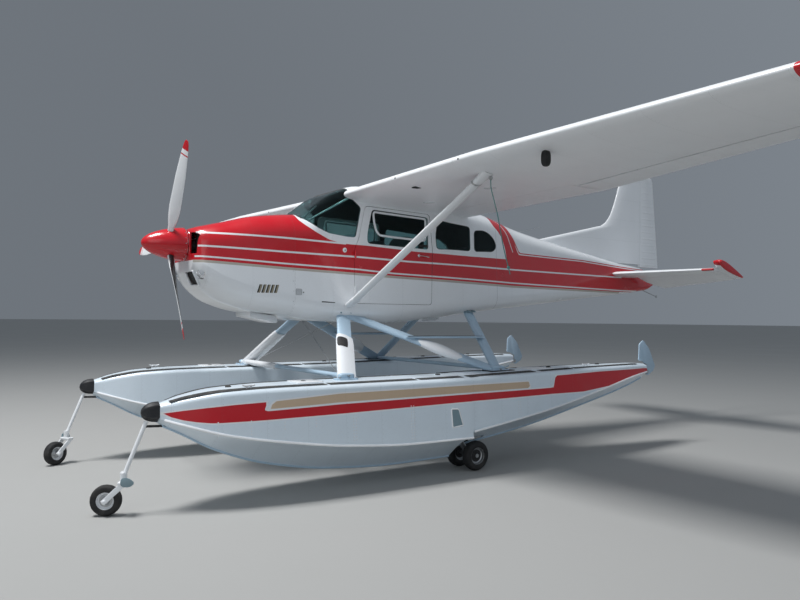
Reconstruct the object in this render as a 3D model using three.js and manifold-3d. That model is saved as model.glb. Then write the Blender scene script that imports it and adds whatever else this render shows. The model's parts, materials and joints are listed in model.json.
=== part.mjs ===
// A light high-wing floatplane on a pair of amphibious floats, standing on the floats' wheels.
// Millimetres, +X aft, +Y to starboard, +Z up. Stations count aft from the firewall.
// The origin is on the ground, under the middle of the aircraft's bounding box.

import * as THREE from 'three';
import { mergeVertices } from 'three/addons/utils/BufferGeometryUtils.js';
import Module from 'manifold-3d';

const wasm = await Module();
wasm.setup();

// Driving dimensions
const GAP = 0.4; // between two pieces that touch
const CLEAR = 8; // round a moving piece
const BEARING_SLACK = 0.9; // round a shaft in its hole
const ORIGIN_STATION = 2160;

const SPAN_HALF = 5460;
const WING_ROOT_Y = 470;
const WING_LE_X = 563;
const WING_LE_Z = 2830;
const WING_DIHEDRAL = 0.0207;
const WING_CHORD = 1626;
const WING_TIP_CHORD = 1120;
const WING_BREAK_Y = 2540;
const WING_ANGLE = 4.2;
const WING_TIP_ANGLE = 2.8;
const WING_TIP_SWEEP = 178;
const WING_THICKNESS = 0.12;
const FLAP_SPAN = [640, 2525];
const AILERON_SPAN = [2560, 5200];
const FLAP_CHORD = 0.27;
const AILERON_CHORD = 0.24;

const PROP_X = -1110;
const PROP_Z = 2241;
const PROP_RADIUS = 1045;
const SPINNER_TIP_X = -1368;
const SPINNER_BASE_X = -968;
const SPINNER_RADIUS = 165;
const BLADE_ANGLES = [30, 150, 270];

const CABIN_END_X = 2780;
const COWL_FRONT_X = -950;
const SKIN = 28;
const DOOR_THICKNESS = 40;
const DOOR_GAP = 6;

const FLOAT_Y = 1205;
const FLOAT_STEP_X = 1400;
const WHEEL_MAIN = { x: 1640, radius: 150, width: 92, track: 130 };
const WHEEL_NOSE = { x: -1898, y: 1142, radius: 119, width: 84 };
const SWIVEL = { x: -1785, y: 1200 };

const STRUT_TOP_FRONT = [560, -470, 1590];
const STRUT_FOOT_FRONT = [188, -1205, 968];
const STRUT_TOP_REAR = [2240, -450, 1622];
const STRUT_FOOT_REAR = [2042, -1205, 985];
const WING_STRUT_FOOT = [590, -560, 1665];
const WING_STRUT_TOP = [865, -2424, 2800];

const ELEVATOR_DROOP = 21;
const ELEVATOR_HINGE = { x: 5670, z: 2188 };
const ELEVATOR_NOSE = 30;
const HORN_Y = 1545;
const RUDDER_HINGE_X = 5905;
const WATER_PIVOT = { x: 4505, z: 890 };
const WATER_POST_X = 4470;
const ROPE_TOP = [900, -2400, 2732];

// Body sections from the nose bowl to the tail's end: the station, half width low and high,
// top, bottom, and the radius of the upper and lower corners.
const BODY = [
  [-950, 300, 290, 2388, 1955, 170, 130],
  [-905, 372, 352, 2404, 1862, 200, 190],
  [-800, 412, 390, 2432, 1755, 215, 230],
  [-660, 442, 418, 2468, 1676, 225, 235],
  [-360, 482, 458, 2545, 1596, 235, 225],
  [0, 515, 492, 2590, 1556, 245, 200],
  [130, 528, 500, 2600, 1524, 250, 190],
  [330, 545, 505, 2735, 1503, 270, 180],
  [560, 560, 520, 2888, 1497, 250, 170],
  [760, 565, 532, 2946, 1494, 200, 165],
  [1100, 572, 540, 2960, 1492, 180, 165],
  [1650, 572, 540, 2922, 1527, 180, 165],
  [2200, 552, 515, 2850, 1592, 200, 165],
  [2700, 498, 460, 2772, 1646, 230, 160],
  [3060, 445, 400, 2694, 1678, 240, 155],
  [3730, 350, 305, 2584, 1744, 200, 140],
  [4700, 226, 190, 2444, 1842, 130, 110],
  [5400, 140, 112, 2352, 1908, 90, 80],
  [5900, 84, 66, 2300, 1968, 55, 55],
  [6010, 74, 56, 2250, 1984, 50, 50],
  [6200, 30, 26, 2130, 2055, 24, 24],
].map(([x, low, high, top, bottom, topRadius, bottomRadius]) => (
  { x, low, high, top, bottom, topRadius, bottomRadius }
));
const CORNER_STEPS = 4;

// Float sections: the station, half width at deck and at chine, deck, chine and keel heights.
const FLOAT_FRONT = [
  [-1530, 60, 62, 838, 730, 690],
  [-1350, 150, 165, 890, 674, 600],
  [-1050, 245, 268, 935, 590, 440],
  [-600, 312, 345, 952, 510, 285],
  [0, 340, 385, 956, 432, 180],
  [700, 345, 392, 958, 388, 140],
  [FLOAT_STEP_X, 345, 392, 962, 384, 150],
];
const FLOAT_REAR = [
  [FLOAT_STEP_X - 60, 345, 384, 962, 430, 228],
  [2400, 320, 352, 982, 575, 370],
  [3400, 235, 262, 996, 745, 570],
  [4100, 150, 165, 1000, 868, 730],
  [4420, 80, 84, 985, 900, 830],
];

// Colours of the finishes
const PAINT = {
  white: { color: 0xf0f1ef, roughness: 0.25, metalness: 0.0 },
  red: { color: 0xa8141c, roughness: 0.25, metalness: 0.0 },
  hull: { color: 0xc9ced1, roughness: 0.4, metalness: 0.35 },
  strut: { color: 0x9fb0bd, roughness: 0.45, metalness: 0.3 },
  steel: { color: 0x8d9296, roughness: 0.4, metalness: 0.8 },
  glass: { color: 0x2c3a40, roughness: 0.05, metalness: 0.0 },
  rubber: { color: 0x1a1a1b, roughness: 0.85, metalness: 0.0 },
  cabin: { color: 0x3a3c3e, roughness: 0.8, metalness: 0.0 },
  rope: { color: 0x2a6f6b, roughness: 0.9, metalness: 0.0 },
};

const rad = THREE.MathUtils.degToRad;
const vec = (x, y, z) => new THREE.Vector3(x, y, z);

// Turning meshes into solids that can be cut and joined, and back

function signedVolume(position, index) {
  const [a, b, c] = [vec(0, 0, 0), vec(0, 0, 0), vec(0, 0, 0)];
  let volume = 0;
  for (let i = 0; i < index.length; i += 3) {
    a.fromBufferAttribute(position, index[i]);
    b.fromBufferAttribute(position, index[i + 1]);
    c.fromBufferAttribute(position, index[i + 2]);
    volume += a.dot(b.cross(c)) / 6;
  }
  return volume;
}

function toSolid(geometry) {
  const bare = geometry.clone();
  bare.deleteAttribute('normal');
  bare.deleteAttribute('uv');
  const merged = mergeVertices(bare, 1e-3);
  const triVerts = Uint32Array.from(merged.index.array);
  if (signedVolume(merged.attributes.position, triVerts) < 0) {
    for (let i = 0; i < triVerts.length; i += 3) {
      [triVerts[i + 1], triVerts[i + 2]] = [triVerts[i + 2], triVerts[i + 1]];
    }
  }
  const vertProperties = Float32Array.from(merged.attributes.position.array);
  return new wasm.Manifold(new wasm.Mesh({ numProp: 3, vertProperties, triVerts }));
}

function toGeometry(solid) {
  const mesh = solid.getMesh();
  const geometry = new THREE.BufferGeometry();
  geometry.setAttribute('position', new THREE.BufferAttribute(mesh.vertProperties, 3));
  geometry.setIndex(new THREE.BufferAttribute(mesh.triVerts, 1));
  geometry.computeVertexNormals();
  return geometry;
}

// The same solid on the other side of the aircraft's centre plane.
function mirrored(solid) {
  const geometry = toGeometry(solid);
  geometry.scale(1, -1, 1);
  return toSolid(geometry);
}

function moved(solid, matrix) {
  const geometry = toGeometry(solid);
  geometry.applyMatrix4(matrix);
  return toSolid(geometry);
}

const joined = (...solids) => solids.reduce((all, solid) => all.add(solid));

// Basic shapes

// A skin through rings of equally many points, closed with a flat cap at each end. The second
// half of each ring is split the other way, so that a symmetrical ring gives a symmetrical skin.
function loft(rings) {
  const size = rings[0].length;
  const positions = rings.flat().flatMap((point) => [point.x, point.y, point.z]);
  const last = (rings.length - 1) * size;
  const index = [];
  for (let start = 0; start < last; start += size) {
    for (let i = 0; i < size; i += 1) {
      const next = (i + 1) % size;
      const [a, b, c, d] = [start + i, start + next, start + size + next, start + size + i];
      if (i < size / 2) index.push(a, b, c, a, c, d);
      else index.push(a, b, d, b, c, d);
    }
  }
  for (let i = 1; i + 1 < size; i += 1) {
    index.push(0, i + 1, i, last, last + i, last + i + 1);
  }
  const geometry = new THREE.BufferGeometry();
  geometry.setAttribute('position', new THREE.Float32BufferAttribute(positions, 3));
  geometry.setIndex(index);
  return toSolid(geometry);
}

function box(low, high) {
  const size = high.map((value, axis) => value - low[axis]);
  const geometry = new THREE.BoxGeometry(...size);
  geometry.translate(...low.map((value, axis) => value + size[axis] / 2));
  return toSolid(geometry);
}

// An outline in the side view (x, z) carried across the aircraft from y0 to y1.
function sidePlate(points, y0, y1) {
  const shape = new THREE.Shape(points.map(([x, z]) => new THREE.Vector2(x, z)));
  const geometry = new THREE.ExtrudeGeometry(shape, { depth: y1 - y0, bevelEnabled: false });
  geometry.rotateX(Math.PI / 2);
  geometry.translate(0, y1, 0);
  return toSolid(geometry);
}

// An outline in plan (x, y) carried up from z0 to z1.
function planPlate(points, z0, z1) {
  const shape = new THREE.Shape(points.map(([x, y]) => new THREE.Vector2(x, y)));
  const geometry = new THREE.ExtrudeGeometry(shape, { depth: z1 - z0, bevelEnabled: false });
  geometry.translate(0, 0, z0);
  return toSolid(geometry);
}

// A straight bar of a given section from one point to another. The section's width lies along
// the aircraft and its thickness across it.
function bar(from, to, width, thickness, sides = 10) {
  const start = vec(...from);
  const end = vec(...to);
  const along = end.clone().sub(start).normalize();
  const level = Math.abs(along.y) > 0.999;
  const across = level ? vec(1, 0, 0) : vec(0, 1, 0).cross(along).normalize();
  const side = along.clone().cross(across);
  const ring = (centre) => Array.from({ length: sides }, (_, i) => {
    const turn = (2 * Math.PI * i) / sides;
    return centre.clone()
      .addScaledVector(across, (Math.cos(turn) * width) / 2)
      .addScaledVector(side, (Math.sin(turn) * thickness) / 2);
  });
  return loft([ring(start), ring(end)]);
}

const rod = (from, to, diameter, sides = 10) => bar(from, to, diameter, diameter, sides);

// A disc or ring turned about the y axis through (x, z): the profile lists radius and y.
function turnedAcross(profile, x, y, z, segments = 24) {
  const points = profile.map(([radius, along]) => new THREE.Vector2(radius, along));
  const geometry = new THREE.LatheGeometry(points, segments);
  geometry.translate(x, y, z);
  return toSolid(geometry);
}

// Body

function bodyRing(section, grow) {
  const { x, low, high, top, bottom, topRadius, bottomRadius } = section;
  const lowRadius = bottomRadius + grow;
  const highRadius = topRadius + grow;
  const half = [];
  for (let k = 0; k <= CORNER_STEPS; k += 1) {
    const turn = rad((90 * k) / CORNER_STEPS - 90);
    half.push([
      low + grow - lowRadius + lowRadius * Math.cos(turn),
      bottom - grow + lowRadius + lowRadius * Math.sin(turn),
    ]);
  }
  for (let k = 0; k <= CORNER_STEPS; k += 1) {
    const turn = rad((90 * k) / CORNER_STEPS);
    half.push([
      high + grow - highRadius + highRadius * Math.cos(turn),
      top + grow - highRadius + highRadius * Math.sin(turn),
    ]);
  }
  const right = half.map(([y, z]) => vec(x, y, z));
  const left = half.map(([y, z]) => vec(x, -y, z)).reverse();
  return [...right, ...left];
}

// The section at any station, between the two of the table that lie round it.
function sectionAt(x) {
  const after = Math.max(1, BODY.findIndex((section) => section.x >= x));
  const [a, b] = [BODY[after - 1], BODY[after]];
  const share = (x - a.x) / (b.x - a.x);
  const entries = Object.keys(a).map((key) => [key, a[key] + (b[key] - a[key]) * share]);
  return Object.fromEntries(entries);
}

// The body between two stations, its skin moved out by grow.
function bodyPart(from, to, grow = 0) {
  const between = BODY.filter((section) => section.x > from && section.x < to);
  const sections = [sectionAt(from), ...between, sectionAt(to)];
  return loft(sections.map((section) => bodyRing(section, grow)));
}

const bodyEnvelope = bodyPart(COWL_FRONT_X, 6200, GAP);

const DOOR_OUTLINE = [
  [655, 1690], [1632, 1690], [1650, 2300], [1612, 2692], [785, 2714], [705, 2352], [655, 2250],
];
const DOOR_WINDOW = [
  [812, 2352], [835, 2322], [1240, 2300], [1590, 2296], [1602, 2330], [1598, 2650],
  [1580, 2662], [880, 2690], [862, 2680], [806, 2400],
];
const QUARTER_WINDOW = [
  [1712, 2318], [2190, 2322], [2216, 2348], [2213, 2599], [2195, 2604], [1735, 2640],
  [1712, 2620], [1699, 2463],
];
const REAR_WINDOW = [
  [2285, 2321], [2600, 2335], [2660, 2389], [2655, 2420], [2624, 2488], [2540, 2550],
  [2435, 2578], [2300, 2566], [2282, 2540],
];
const WINDSHIELD_OUTLINE = [
  [78, 2560], [128, 2539], [247, 2452], [373, 2402], [566, 2378], [671, 2376],
  [735, 2690], [640, 2776], [640, 3050], [78, 3050],
];

// An outline moved outwards from its middle by a distance, for a running gap round a panel.
function widened(points, distance) {
  const middle = (axis) => points.reduce((sum, point) => sum + point[axis], 0) / points.length;
  const [middleX, middleZ] = [middle(0), middle(1)];
  return points.map(([x, z]) => {
    const reach = Math.hypot(x - middleX, z - middleZ);
    const scale = (reach + distance) / reach;
    return [middleX + (x - middleX) * scale, middleZ + (z - middleZ) * scale];
  });
}

const bothSides = (points) => sidePlate(points, -900, 900);
const portSide = (points) => sidePlate(points, -900, -300);

// Door hinges on one upright line: the foot of each hinge and how deep its leaves reach inwards.
const DOOR_AXIS = { x: 650, y: -575, radius: 9 };
const DOOR_HINGES = [[1790, -545], [2150, -528]];
const KNUCKLE = 40;
const LEAF = 46;

// One half of every hinge on the port side, starting at a height above the hinge's foot, its
// leaf reaching ahead of the line (-1) or behind it (1).
function hingeHalves(rise, way) {
  const { x, y, radius } = DOOR_AXIS;
  return joined(...DOOR_HINGES.flatMap(([foot, depth]) => {
    const [low, high] = [foot + rise, foot + rise + KNUCKLE];
    const leaf = (start, inner) => {
      const ends = [x + way * start, x + way * LEAF].sort((a, b) => a - b);
      return box([ends[0], y - radius + 1, low], [ends[1], inner, high]);
    };
    return [rod([x, y, low], [x, y, high], 2 * radius, 12), leaf(0, y + radius), leaf(12, depth)];
  }));
}

function cabinShell() {
  const inside = bodyPart(SKIN, CABIN_END_X - SKIN, -SKIN);
  const hinges = hingeHalves(0, -1);
  return bodyPart(0, CABIN_END_X)
    .subtract(inside)
    .subtract(bothSides(widened(DOOR_OUTLINE, DOOR_GAP)))
    .subtract(bothSides(QUARTER_WINDOW))
    .subtract(bothSides(REAR_WINDOW))
    .subtract(bothSides(WINDSHIELD_OUTLINE))
    .add(hinges)
    .add(mirrored(hinges));
}

function door() {
  const slab = bodyPart(400, 1900).subtract(bodyPart(300, 2000, -DOOR_THICKNESS));
  return slab.intersect(portSide(DOOR_OUTLINE))
    .subtract(portSide(DOOR_WINDOW))
    .add(hingeHalves(KNUCKLE + GAP, 1));
}

// A pane is a thin layer of the body's skin inside an opening's outline.
function pane(outline, outer, thickness) {
  const layer = bodyPart(SKIN, CABIN_END_X - SKIN, -outer);
  return layer.subtract(bodyPart(0, CABIN_END_X, -outer - thickness)).intersect(outline);
}

const doorWindow = () => pane(portSide(widened(DOOR_WINDOW, -GAP)), 15, 6);

function sideGlass() {
  const sheet = [
    [1672, 2280], [2700, 2285], [2700, 2430], [2560, 2600], [2300, 2625], [1672, 2665],
  ];
  return pane(portSide(sheet), SKIN + GAP, 6);
}

const windshield = () => pane(bothSides(widened(WINDSHIELD_OUTLINE, -GAP)), 10, 8);

function cowling() {
  const shell = bodyPart(COWL_FRONT_X, -GAP).subtract(bodyPart(COWL_FRONT_X + 40, 20, -14));
  const inlet = sidePlate([[-1000, 2135], [-902, 2135], [-902, 2350], [-1000, 2350]], -320, -190);
  const chinInlet = box([-1000, -245, 1850], [-855, -35, 1972]);
  const outlet = box([-330, -210, 1500], [-60, 210, 1640]);
  const shaftHole = turnedAlong([[0, -1000], [70, -1000], [70, -880], [0, -880]], 0, PROP_Z, 20);
  return shell.subtract(inlet).subtract(mirrored(inlet)).subtract(chinInlet).subtract(outlet)
    .subtract(shaftHole);
}

// A shape turned about a line along the aircraft at height z: the profile lists radius and x.
function turnedAlong(profile, y, z, segments = 24) {
  const points = profile.map(([radius, along]) => new THREE.Vector2(radius, along));
  const geometry = new THREE.LatheGeometry(points, segments);
  geometry.rotateZ(-Math.PI / 2);
  geometry.translate(0, y, z);
  return toSolid(geometry);
}

function engineBlock() {
  const crankcase = box([-780, -330, 2040], [-180, 330, 2340]);
  const mountPad = box([-181, -150, 2080], [-GAP, 150, 2300]);
  const front = SPINNER_BASE_X + GAP;
  const shaft = turnedAlong([[0, front], [45, front], [45, -779], [0, -779]], 0, PROP_Z, 20);
  return joined(crankcase, mountPad, shaft);
}

function cowlFlap() {
  const outline = [[-345, 1600], [-60, 1550], [-40, 1490], [-60, 1480], [-340, 1545]];
  const hollow = [[-300, 1565], [0, 1535], [0, 1502], [-300, 1545]];
  return sidePlate(outline, -190, 190).subtract(sidePlate(hollow, -178, 178))
    .subtract(bodyEnvelope);
}

function instrumentPanel() {
  const board = box([235, -440, 2130], [270, 440, 2440]);
  const shelf = box([SKIN + GAP, -420, 2400], [240, 420, 2440]);
  const yokes = [-255, 255].map((y) => joined(
    rod([265, y, 2260], [420, y, 2275], 26, 8),
    box([410, y - 130, 2255], [436, y + 130, 2295]),
    box([410, y - 130, 2290], [436, y - 100, 2350]),
    box([410, y + 100, 2290], [436, y + 130, 2350]),
  ));
  return joined(board, shelf, ...yokes)
    .intersect(bodyPart(SKIN, CABIN_END_X - SKIN, -SKIN - GAP));
}

function seat() {
  const pan = sidePlate([[880, 1800], [1300, 1790], [1300, 1900], [880, 1930]], -500, -60);
  const back = sidePlate([[1250, 1890], [1340, 1880], [1470, 2430], [1390, 2450]], -500, -60);
  const pedestal = sidePlate([[980, 1530], [1240, 1530], [1240, 1800], [980, 1800]], -440, -120);
  return joined(pan, back, pedestal).subtract(bodyFloor);
}

// What is below the cabin's inner floor, taken off the pieces that stand on it.
const bodyFloor = box([-100, -800, 1000], [3000, 800, 1700])
  .subtract(bodyPart(-90, 2900, -SKIN - GAP));

function rearBench() {
  const pan = sidePlate([[1900, 1860], [2280, 1860], [2280, 1980], [1900, 1990]], -430, 430);
  const back = sidePlate([[2240, 1960], [2310, 1950], [2430, 2380], [2360, 2400]], -430, 430);
  const plinth = sidePlate([[1960, 1500], [2240, 1500], [2240, 1861], [1960, 1861]], -360, 360);
  return joined(pan, back, plinth).subtract(bodyFloor);
}

// Wing

const AIRFOIL_STEPS = 9;
const SLOT_SHARE = 0.008;
const AXIS_HEIGHT = 0.0146;
const AILERON_NOSE = 0.022;

const camber = (t) => 0.08 * t * (1 - t);

// Half the depth of a rounded aerofoil at a share of its chord.
function halfDepth(t, thickness) {
  return thickness * 5 * (
    0.2969 * Math.sqrt(t) - 0.126 * t - 0.3516 * t ** 2 + 0.2843 * t ** 3 - 0.1015 * t ** 4
  );
}

// A rounded aerofoil from chord share a to b, as (x, z) shares of the chord, trailing edge first.
function airfoil(a, b, thickness) {
  const shares = Array.from({ length: AIRFOIL_STEPS + 1 }, (_, i) => (
    a + (b - a) * (1 - Math.cos((Math.PI * i) / AIRFOIL_STEPS)) / 2
  ));
  const upper = shares.map((t) => [t, camber(t) + halfDepth(t, thickness)]);
  const lower = shares.map((t) => [t, camber(t) - halfDepth(t, thickness)]);
  const start = a === 0 ? 1 : 0;
  return [...upper.reverse(), ...lower.slice(start)];
}

function wingStation(y) {
  const outer = Math.max(0, (y - WING_BREAK_Y) / (SPAN_HALF - WING_BREAK_Y));
  return {
    x: WING_LE_X + WING_TIP_SWEEP * outer,
    z: WING_LE_Z + (y - WING_ROOT_Y) * WING_DIHEDRAL,
    chord: WING_CHORD + (WING_TIP_CHORD - WING_CHORD) * outer,
    angle: WING_ANGLE + (WING_TIP_ANGLE - WING_ANGLE) * outer,
  };
}

function wingPoint(y, share, height) {
  const { x, z, chord, angle } = wingStation(y);
  const [cosine, sine] = [Math.cos(rad(angle)), Math.sin(rad(angle))];
  return vec(
    x + chord * (share * cosine + height * sine),
    -y,
    z + chord * (height * cosine - share * sine),
  );
}

function wingPanel(a, b, y0, y1) {
  const stops = [y0, ...[WING_BREAK_Y].filter((y) => y > y0 && y < y1), y1];
  return loft(stops.map((y) => airfoil(a, b, WING_THICKNESS).map(([t, h]) => wingPoint(y, t, h))));
}

// The part of the wing's chord behind a share, to cut with, its front pointed by bevel.
function chordCut(share, y0, y1, slack, bevel = 0) {
  const corners = [
    [share, AXIS_HEIGHT], [share + bevel, -0.02], [share + bevel, -0.12], [1.1, -0.12],
    [1.1, 0.16], [share + bevel, 0.16], [share + bevel, 0.05],
  ];
  return loft([y0 - slack, y1 + slack].map((y) => corners.map(([t, h]) => wingPoint(y, t, h))));
}

// The lines the flap and the aileron turn on, as a share of the chord and a height above it.
const FLAP_AXIS_SHARE = 1 - FLAP_CHORD + 0.006;
const FLAP_AXIS = [
  FLAP_AXIS_SHARE,
  camber(FLAP_AXIS_SHARE) - halfDepth(FLAP_AXIS_SHARE, WING_THICKNESS) + 0.006,
];
const AILERON_AXIS = [1 - AILERON_CHORD + AILERON_NOSE, AXIS_HEIGHT];
const HINGE_PIN = { diameter: 14, root: 10 };

// Pins on a hinge line, from the walls of the slot to the surface's two ends.
function endPins([y0, y1], [share, height]) {
  const [start, end] = [wingPoint(y0, share, height), wingPoint(y1, share, height)];
  const outwards = end.clone().sub(start).normalize();
  const pin = (point, way) => rod(
    point.clone().addScaledVector(outwards, way * (CLEAR + HINGE_PIN.root)).toArray(),
    point.toArray(),
    HINGE_PIN.diameter,
  );
  return pin(start, -1).add(pin(end, 1));
}

function wing() {
  const panel = wingPanel(0, 1, WING_ROOT_Y, SPAN_HALF - 110);
  const tipShares = [0, 40, 80, 110].map((out) => {
    const y = SPAN_HALF - 110 + out;
    const shrink = Math.sqrt(1 - (out / 118) ** 2);
    return airfoil(0, 1, WING_THICKNESS * shrink).map(([t, h]) => (
      wingPoint(y, 0.5 * (1 - shrink) * 0.35 + t * (1 - 0.35 * (1 - shrink)), h)
    ));
  });
  const flapSlot = (slack) => chordCut(1 - FLAP_CHORD - SLOT_SHARE, ...FLAP_SPAN, slack);
  const aileronSlot = (slack) => chordCut(1 - AILERON_CHORD - SLOT_SHARE, ...AILERON_SPAN, slack);
  return joined(panel, loft(tipShares))
    .subtract(flapSlot(CLEAR))
    .subtract(aileronSlot(CLEAR))
    .add(endPins(FLAP_SPAN, FLAP_AXIS))
    .add(endPins(AILERON_SPAN, AILERON_AXIS))
    .subtract(flapSlot(GAP))
    .subtract(aileronSlot(GAP))
    .subtract(bodyEnvelope);
}

function flap() {
  return wingPanel(0, 1, ...FLAP_SPAN).intersect(chordCut(1 - FLAP_CHORD, ...FLAP_SPAN, 0));
}

function aileron() {
  const cut = chordCut(1 - AILERON_CHORD, ...AILERON_SPAN, 0, AILERON_NOSE);
  return wingPanel(0, 1, ...AILERON_SPAN).intersect(cut);
}

const wingEnvelope = wingPanel(0, 1, 300, SPAN_HALF - 110);

function wingStrut() {
  const [fx, fy, fz] = WING_STRUT_FOOT;
  const [ringX, ringY, ringZ] = ROPE_TOP;
  return joined(
    bar(WING_STRUT_FOOT, WING_STRUT_TOP, 100, 42),
    rod([fx, fy + 40, fz - 20], WING_STRUT_FOOT, 50, 8),
    rod([ringX, ringY, ringZ + 6], [ringX, ringY, ringZ + 50], 12, 6),
    rod([ringX - 26, ringY, ringZ + 7.4], [ringX + 26, ringY, ringZ + 7.4], 14, 6),
  ).subtract(bodyEnvelope).subtract(wingEnvelope)
    .subtract(moved(wingEnvelope, new THREE.Matrix4().makeTranslation(0, 0, -GAP)));
}

// Tail

const FIN_HALF = 27;

function fin() {
  const outline = [
    [3740, 2500], [3740, 2586], [5055, 2880], [5150, 2935], [5228, 3020], [5290, 3120],
    [5500, 3640], [5850, 3690], [RUDDER_HINGE_X - 24, 3690], [RUDDER_HINGE_X - 24, 2250],
  ];
  return sidePlate(outline, -FIN_HALF, FIN_HALF).subtract(bodyEnvelope);
}

// The rudder's section in plan, with a blunt nose ahead of the hinge.
function rudderRing(z, chord) {
  const half = [[-16, 8], [0, 25], [110, 25], [chord, 4]];
  const right = half.map(([x, y]) => vec(RUDDER_HINGE_X + x, y, z));
  const left = half.map(([x, y]) => vec(RUDDER_HINGE_X + x, -y, z)).reverse();
  return [...right, ...left];
}

const RUDDER_FOOT_Z = 2322;

function rudder() {
  const rows = [[RUDDER_FOOT_Z, 428], [3620, 296], [3688, 270]];
  return loft(rows.map(([z, chord]) => rudderRing(z, chord)));
}

function tailRing(y, x0, x1, z, thickness) {
  const chord = x1 - x0;
  return airfoil(0, 1, thickness / chord).map(([t, h]) => (
    vec(x0 + t * chord, y, z + (h - camber(t)) * chord)
  ));
}

// Half of the tailplane with its elevator undivided, port side: y, front, back, height, thickness.
function tailHalf(grow = 0) {
  const rows = [
    [-10, 5120, 6180, 2188, 88],
    [195, 5135, 6190, 2188, 84],
    [1450, 5372, 5985, 2196, 54],
    [1590, 5398, 5950, 2198, 46],
  ];
  return loft(rows.map(([y, x0, x1, z, thick]) => (
    tailRing(-y, x0 - grow, x1 + grow, z, thick + 2 * grow)
  )));
}

// The thick tip of the port elevator, which holds its balance weight ahead of the hinge.
function elevatorHorn() {
  const rows = [
    [HORN_Y, 5384, 5962, 2197, 96],
    [1610, 5376, 5946, 2198, 100],
    [1655, 5392, 5915, 2198, 66],
  ];
  return loft(rows.map(([y, x0, x1, z, thick]) => tailRing(-y, x0, x1, z, thick)));
}

// What lies behind the elevator's hinge, its front pointed, and the horn ahead of it at the tip.
function elevatorRegion(slack) {
  const { x, z } = ELEVATOR_HINGE;
  const front = x - ELEVATOR_NOSE - slack;
  const shoulder = slack ? front : x;
  const outline = [
    [front, z], [shoulder, z - 70], [6400, z - 70], [6400, z + 70], [shoulder, z + 70],
  ];
  const behind = sidePlate(outline, -1700, 100);
  return behind.add(box([5300, -1700, z - 100], [x + 10, -HORN_Y + slack, z + 100]));
}

function stabiliser() {
  const half = tailHalf().subtract(elevatorRegion(CLEAR));
  return half.add(mirrored(half));
}

const TORQUE_TUBE = 32;

function elevator() {
  const { x, z } = ELEVATOR_HINGE;
  const inner = [[5500, -168], [5900, -168], [6250, -300], [6250, 40], [5500, 40]];
  const half = tailHalf().intersect(elevatorRegion(0)).subtract(planPlate(inner, 1900, 2500))
    .add(elevatorHorn());
  const droop = new THREE.Matrix4().makeTranslation(x, 0, z)
    .multiply(new THREE.Matrix4().makeRotationY(rad(ELEVATOR_DROOP)))
    .multiply(new THREE.Matrix4().makeTranslation(-x, 0, -z));
  const drooped = moved(half, droop);
  return joined(drooped, mirrored(drooped), rod([x, -180, z], [x, 180, z], TORQUE_TUBE, 12));
}

const TAIL_SKIN = 20;
const TAIL_FRAME_X = 4900;

// The tail cone is hollow from the cabin back to its last frame, ahead of the tailplane.
function tailcone() {
  const { x, z } = ELEVATOR_HINGE;
  const slot = tailHalf(GAP).subtract(elevatorRegion(CLEAR - GAP));
  const bearing = rod([x, -200, z], [x, 200, z], TORQUE_TUBE + 2 * BEARING_SLACK, 12);
  const rudderPin = rod([RUDDER_HINGE_X, 0, 2250], [RUDDER_HINGE_X, 0, RUDDER_FOOT_Z - GAP], 20);
  return bodyPart(CABIN_END_X + GAP, 6200)
    .subtract(slot)
    .subtract(mirrored(slot))
    .subtract(bearing)
    .subtract(bodyPart(CABIN_END_X - TAIL_SKIN, TAIL_FRAME_X, -TAIL_SKIN))
    .add(rudderPin);
}

// Propeller

function spinner() {
  const length = SPINNER_BASE_X - SPINNER_TIP_X;
  const profile = [[0, SPINNER_BASE_X], [SPINNER_RADIUS, SPINNER_BASE_X]];
  for (let k = 1; k < 10; k += 1) {
    const t = k / 10;
    profile.push([SPINNER_RADIUS * Math.sqrt(1 - t ** 1.6), SPINNER_BASE_X - length * t]);
  }
  profile.push([0, SPINNER_TIP_X]);
  const holes = BLADE_ANGLES.map((angle) => moved(
    rod([0, 0, BLADE_SECTIONS[0][0] - GAP], [0, 0, 300], BLADE_SECTIONS[0][1] + 3, 16),
    bladePlace(angle),
  ));
  return turnedAlong(profile, 0, PROP_Z, 28).subtract(joined(...holes));
}

function bladePlace(angle) {
  return new THREE.Matrix4().makeTranslation(PROP_X, 0, PROP_Z)
    .multiply(new THREE.Matrix4().makeRotationX(rad(angle)));
}

// One blade pointing up: radius, chord, thickness and pitch at each section.
const BLADE_SECTIONS = [
  [100, 62, 58, 50],
  [168, 61, 56, 46],
  [250, 98, 40, 42],
  [420, 142, 22, 30],
  [650, 148, 16, 22],
  [880, 120, 11, 17],
  [1005, 82, 8, 15],
  [PROP_RADIUS, 34, 5, 14],
];

function blade(angle) {
  const rings = BLADE_SECTIONS.map(([radius, chord, thickness, pitch]) => (
    Array.from({ length: 12 }, (_, i) => {
      const turn = (2 * Math.PI * i) / 12;
      const across = (Math.cos(turn) * chord) / 2;
      const deep = (Math.sin(turn) * thickness) / 2;
      const [cosine, sine] = [Math.cos(rad(pitch)), Math.sin(rad(pitch))];
      return vec(deep * cosine - across * sine, across * cosine + deep * sine, radius);
    })
  ));
  return moved(loft(rings), bladePlace(angle));
}

// Floats

function floatRing([x, deckHalf, chineHalf, deck, chine, keel]) {
  return [
    vec(x, 0, keel),
    vec(x, chineHalf * 0.55, keel + (chine - keel) * 0.72),
    vec(x, chineHalf, chine),
    vec(x, deckHalf + (chineHalf - deckHalf) * 0.15, deck - 45),
    vec(x, deckHalf - 30, deck),
    vec(x, 0, deck + 14),
    vec(x, 30 - deckHalf, deck),
    vec(x, -deckHalf - (chineHalf - deckHalf) * 0.15, deck - 45),
    vec(x, -chineHalf, chine),
    vec(x, -chineHalf * 0.55, keel + (chine - keel) * 0.72),
  ];
}

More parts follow.
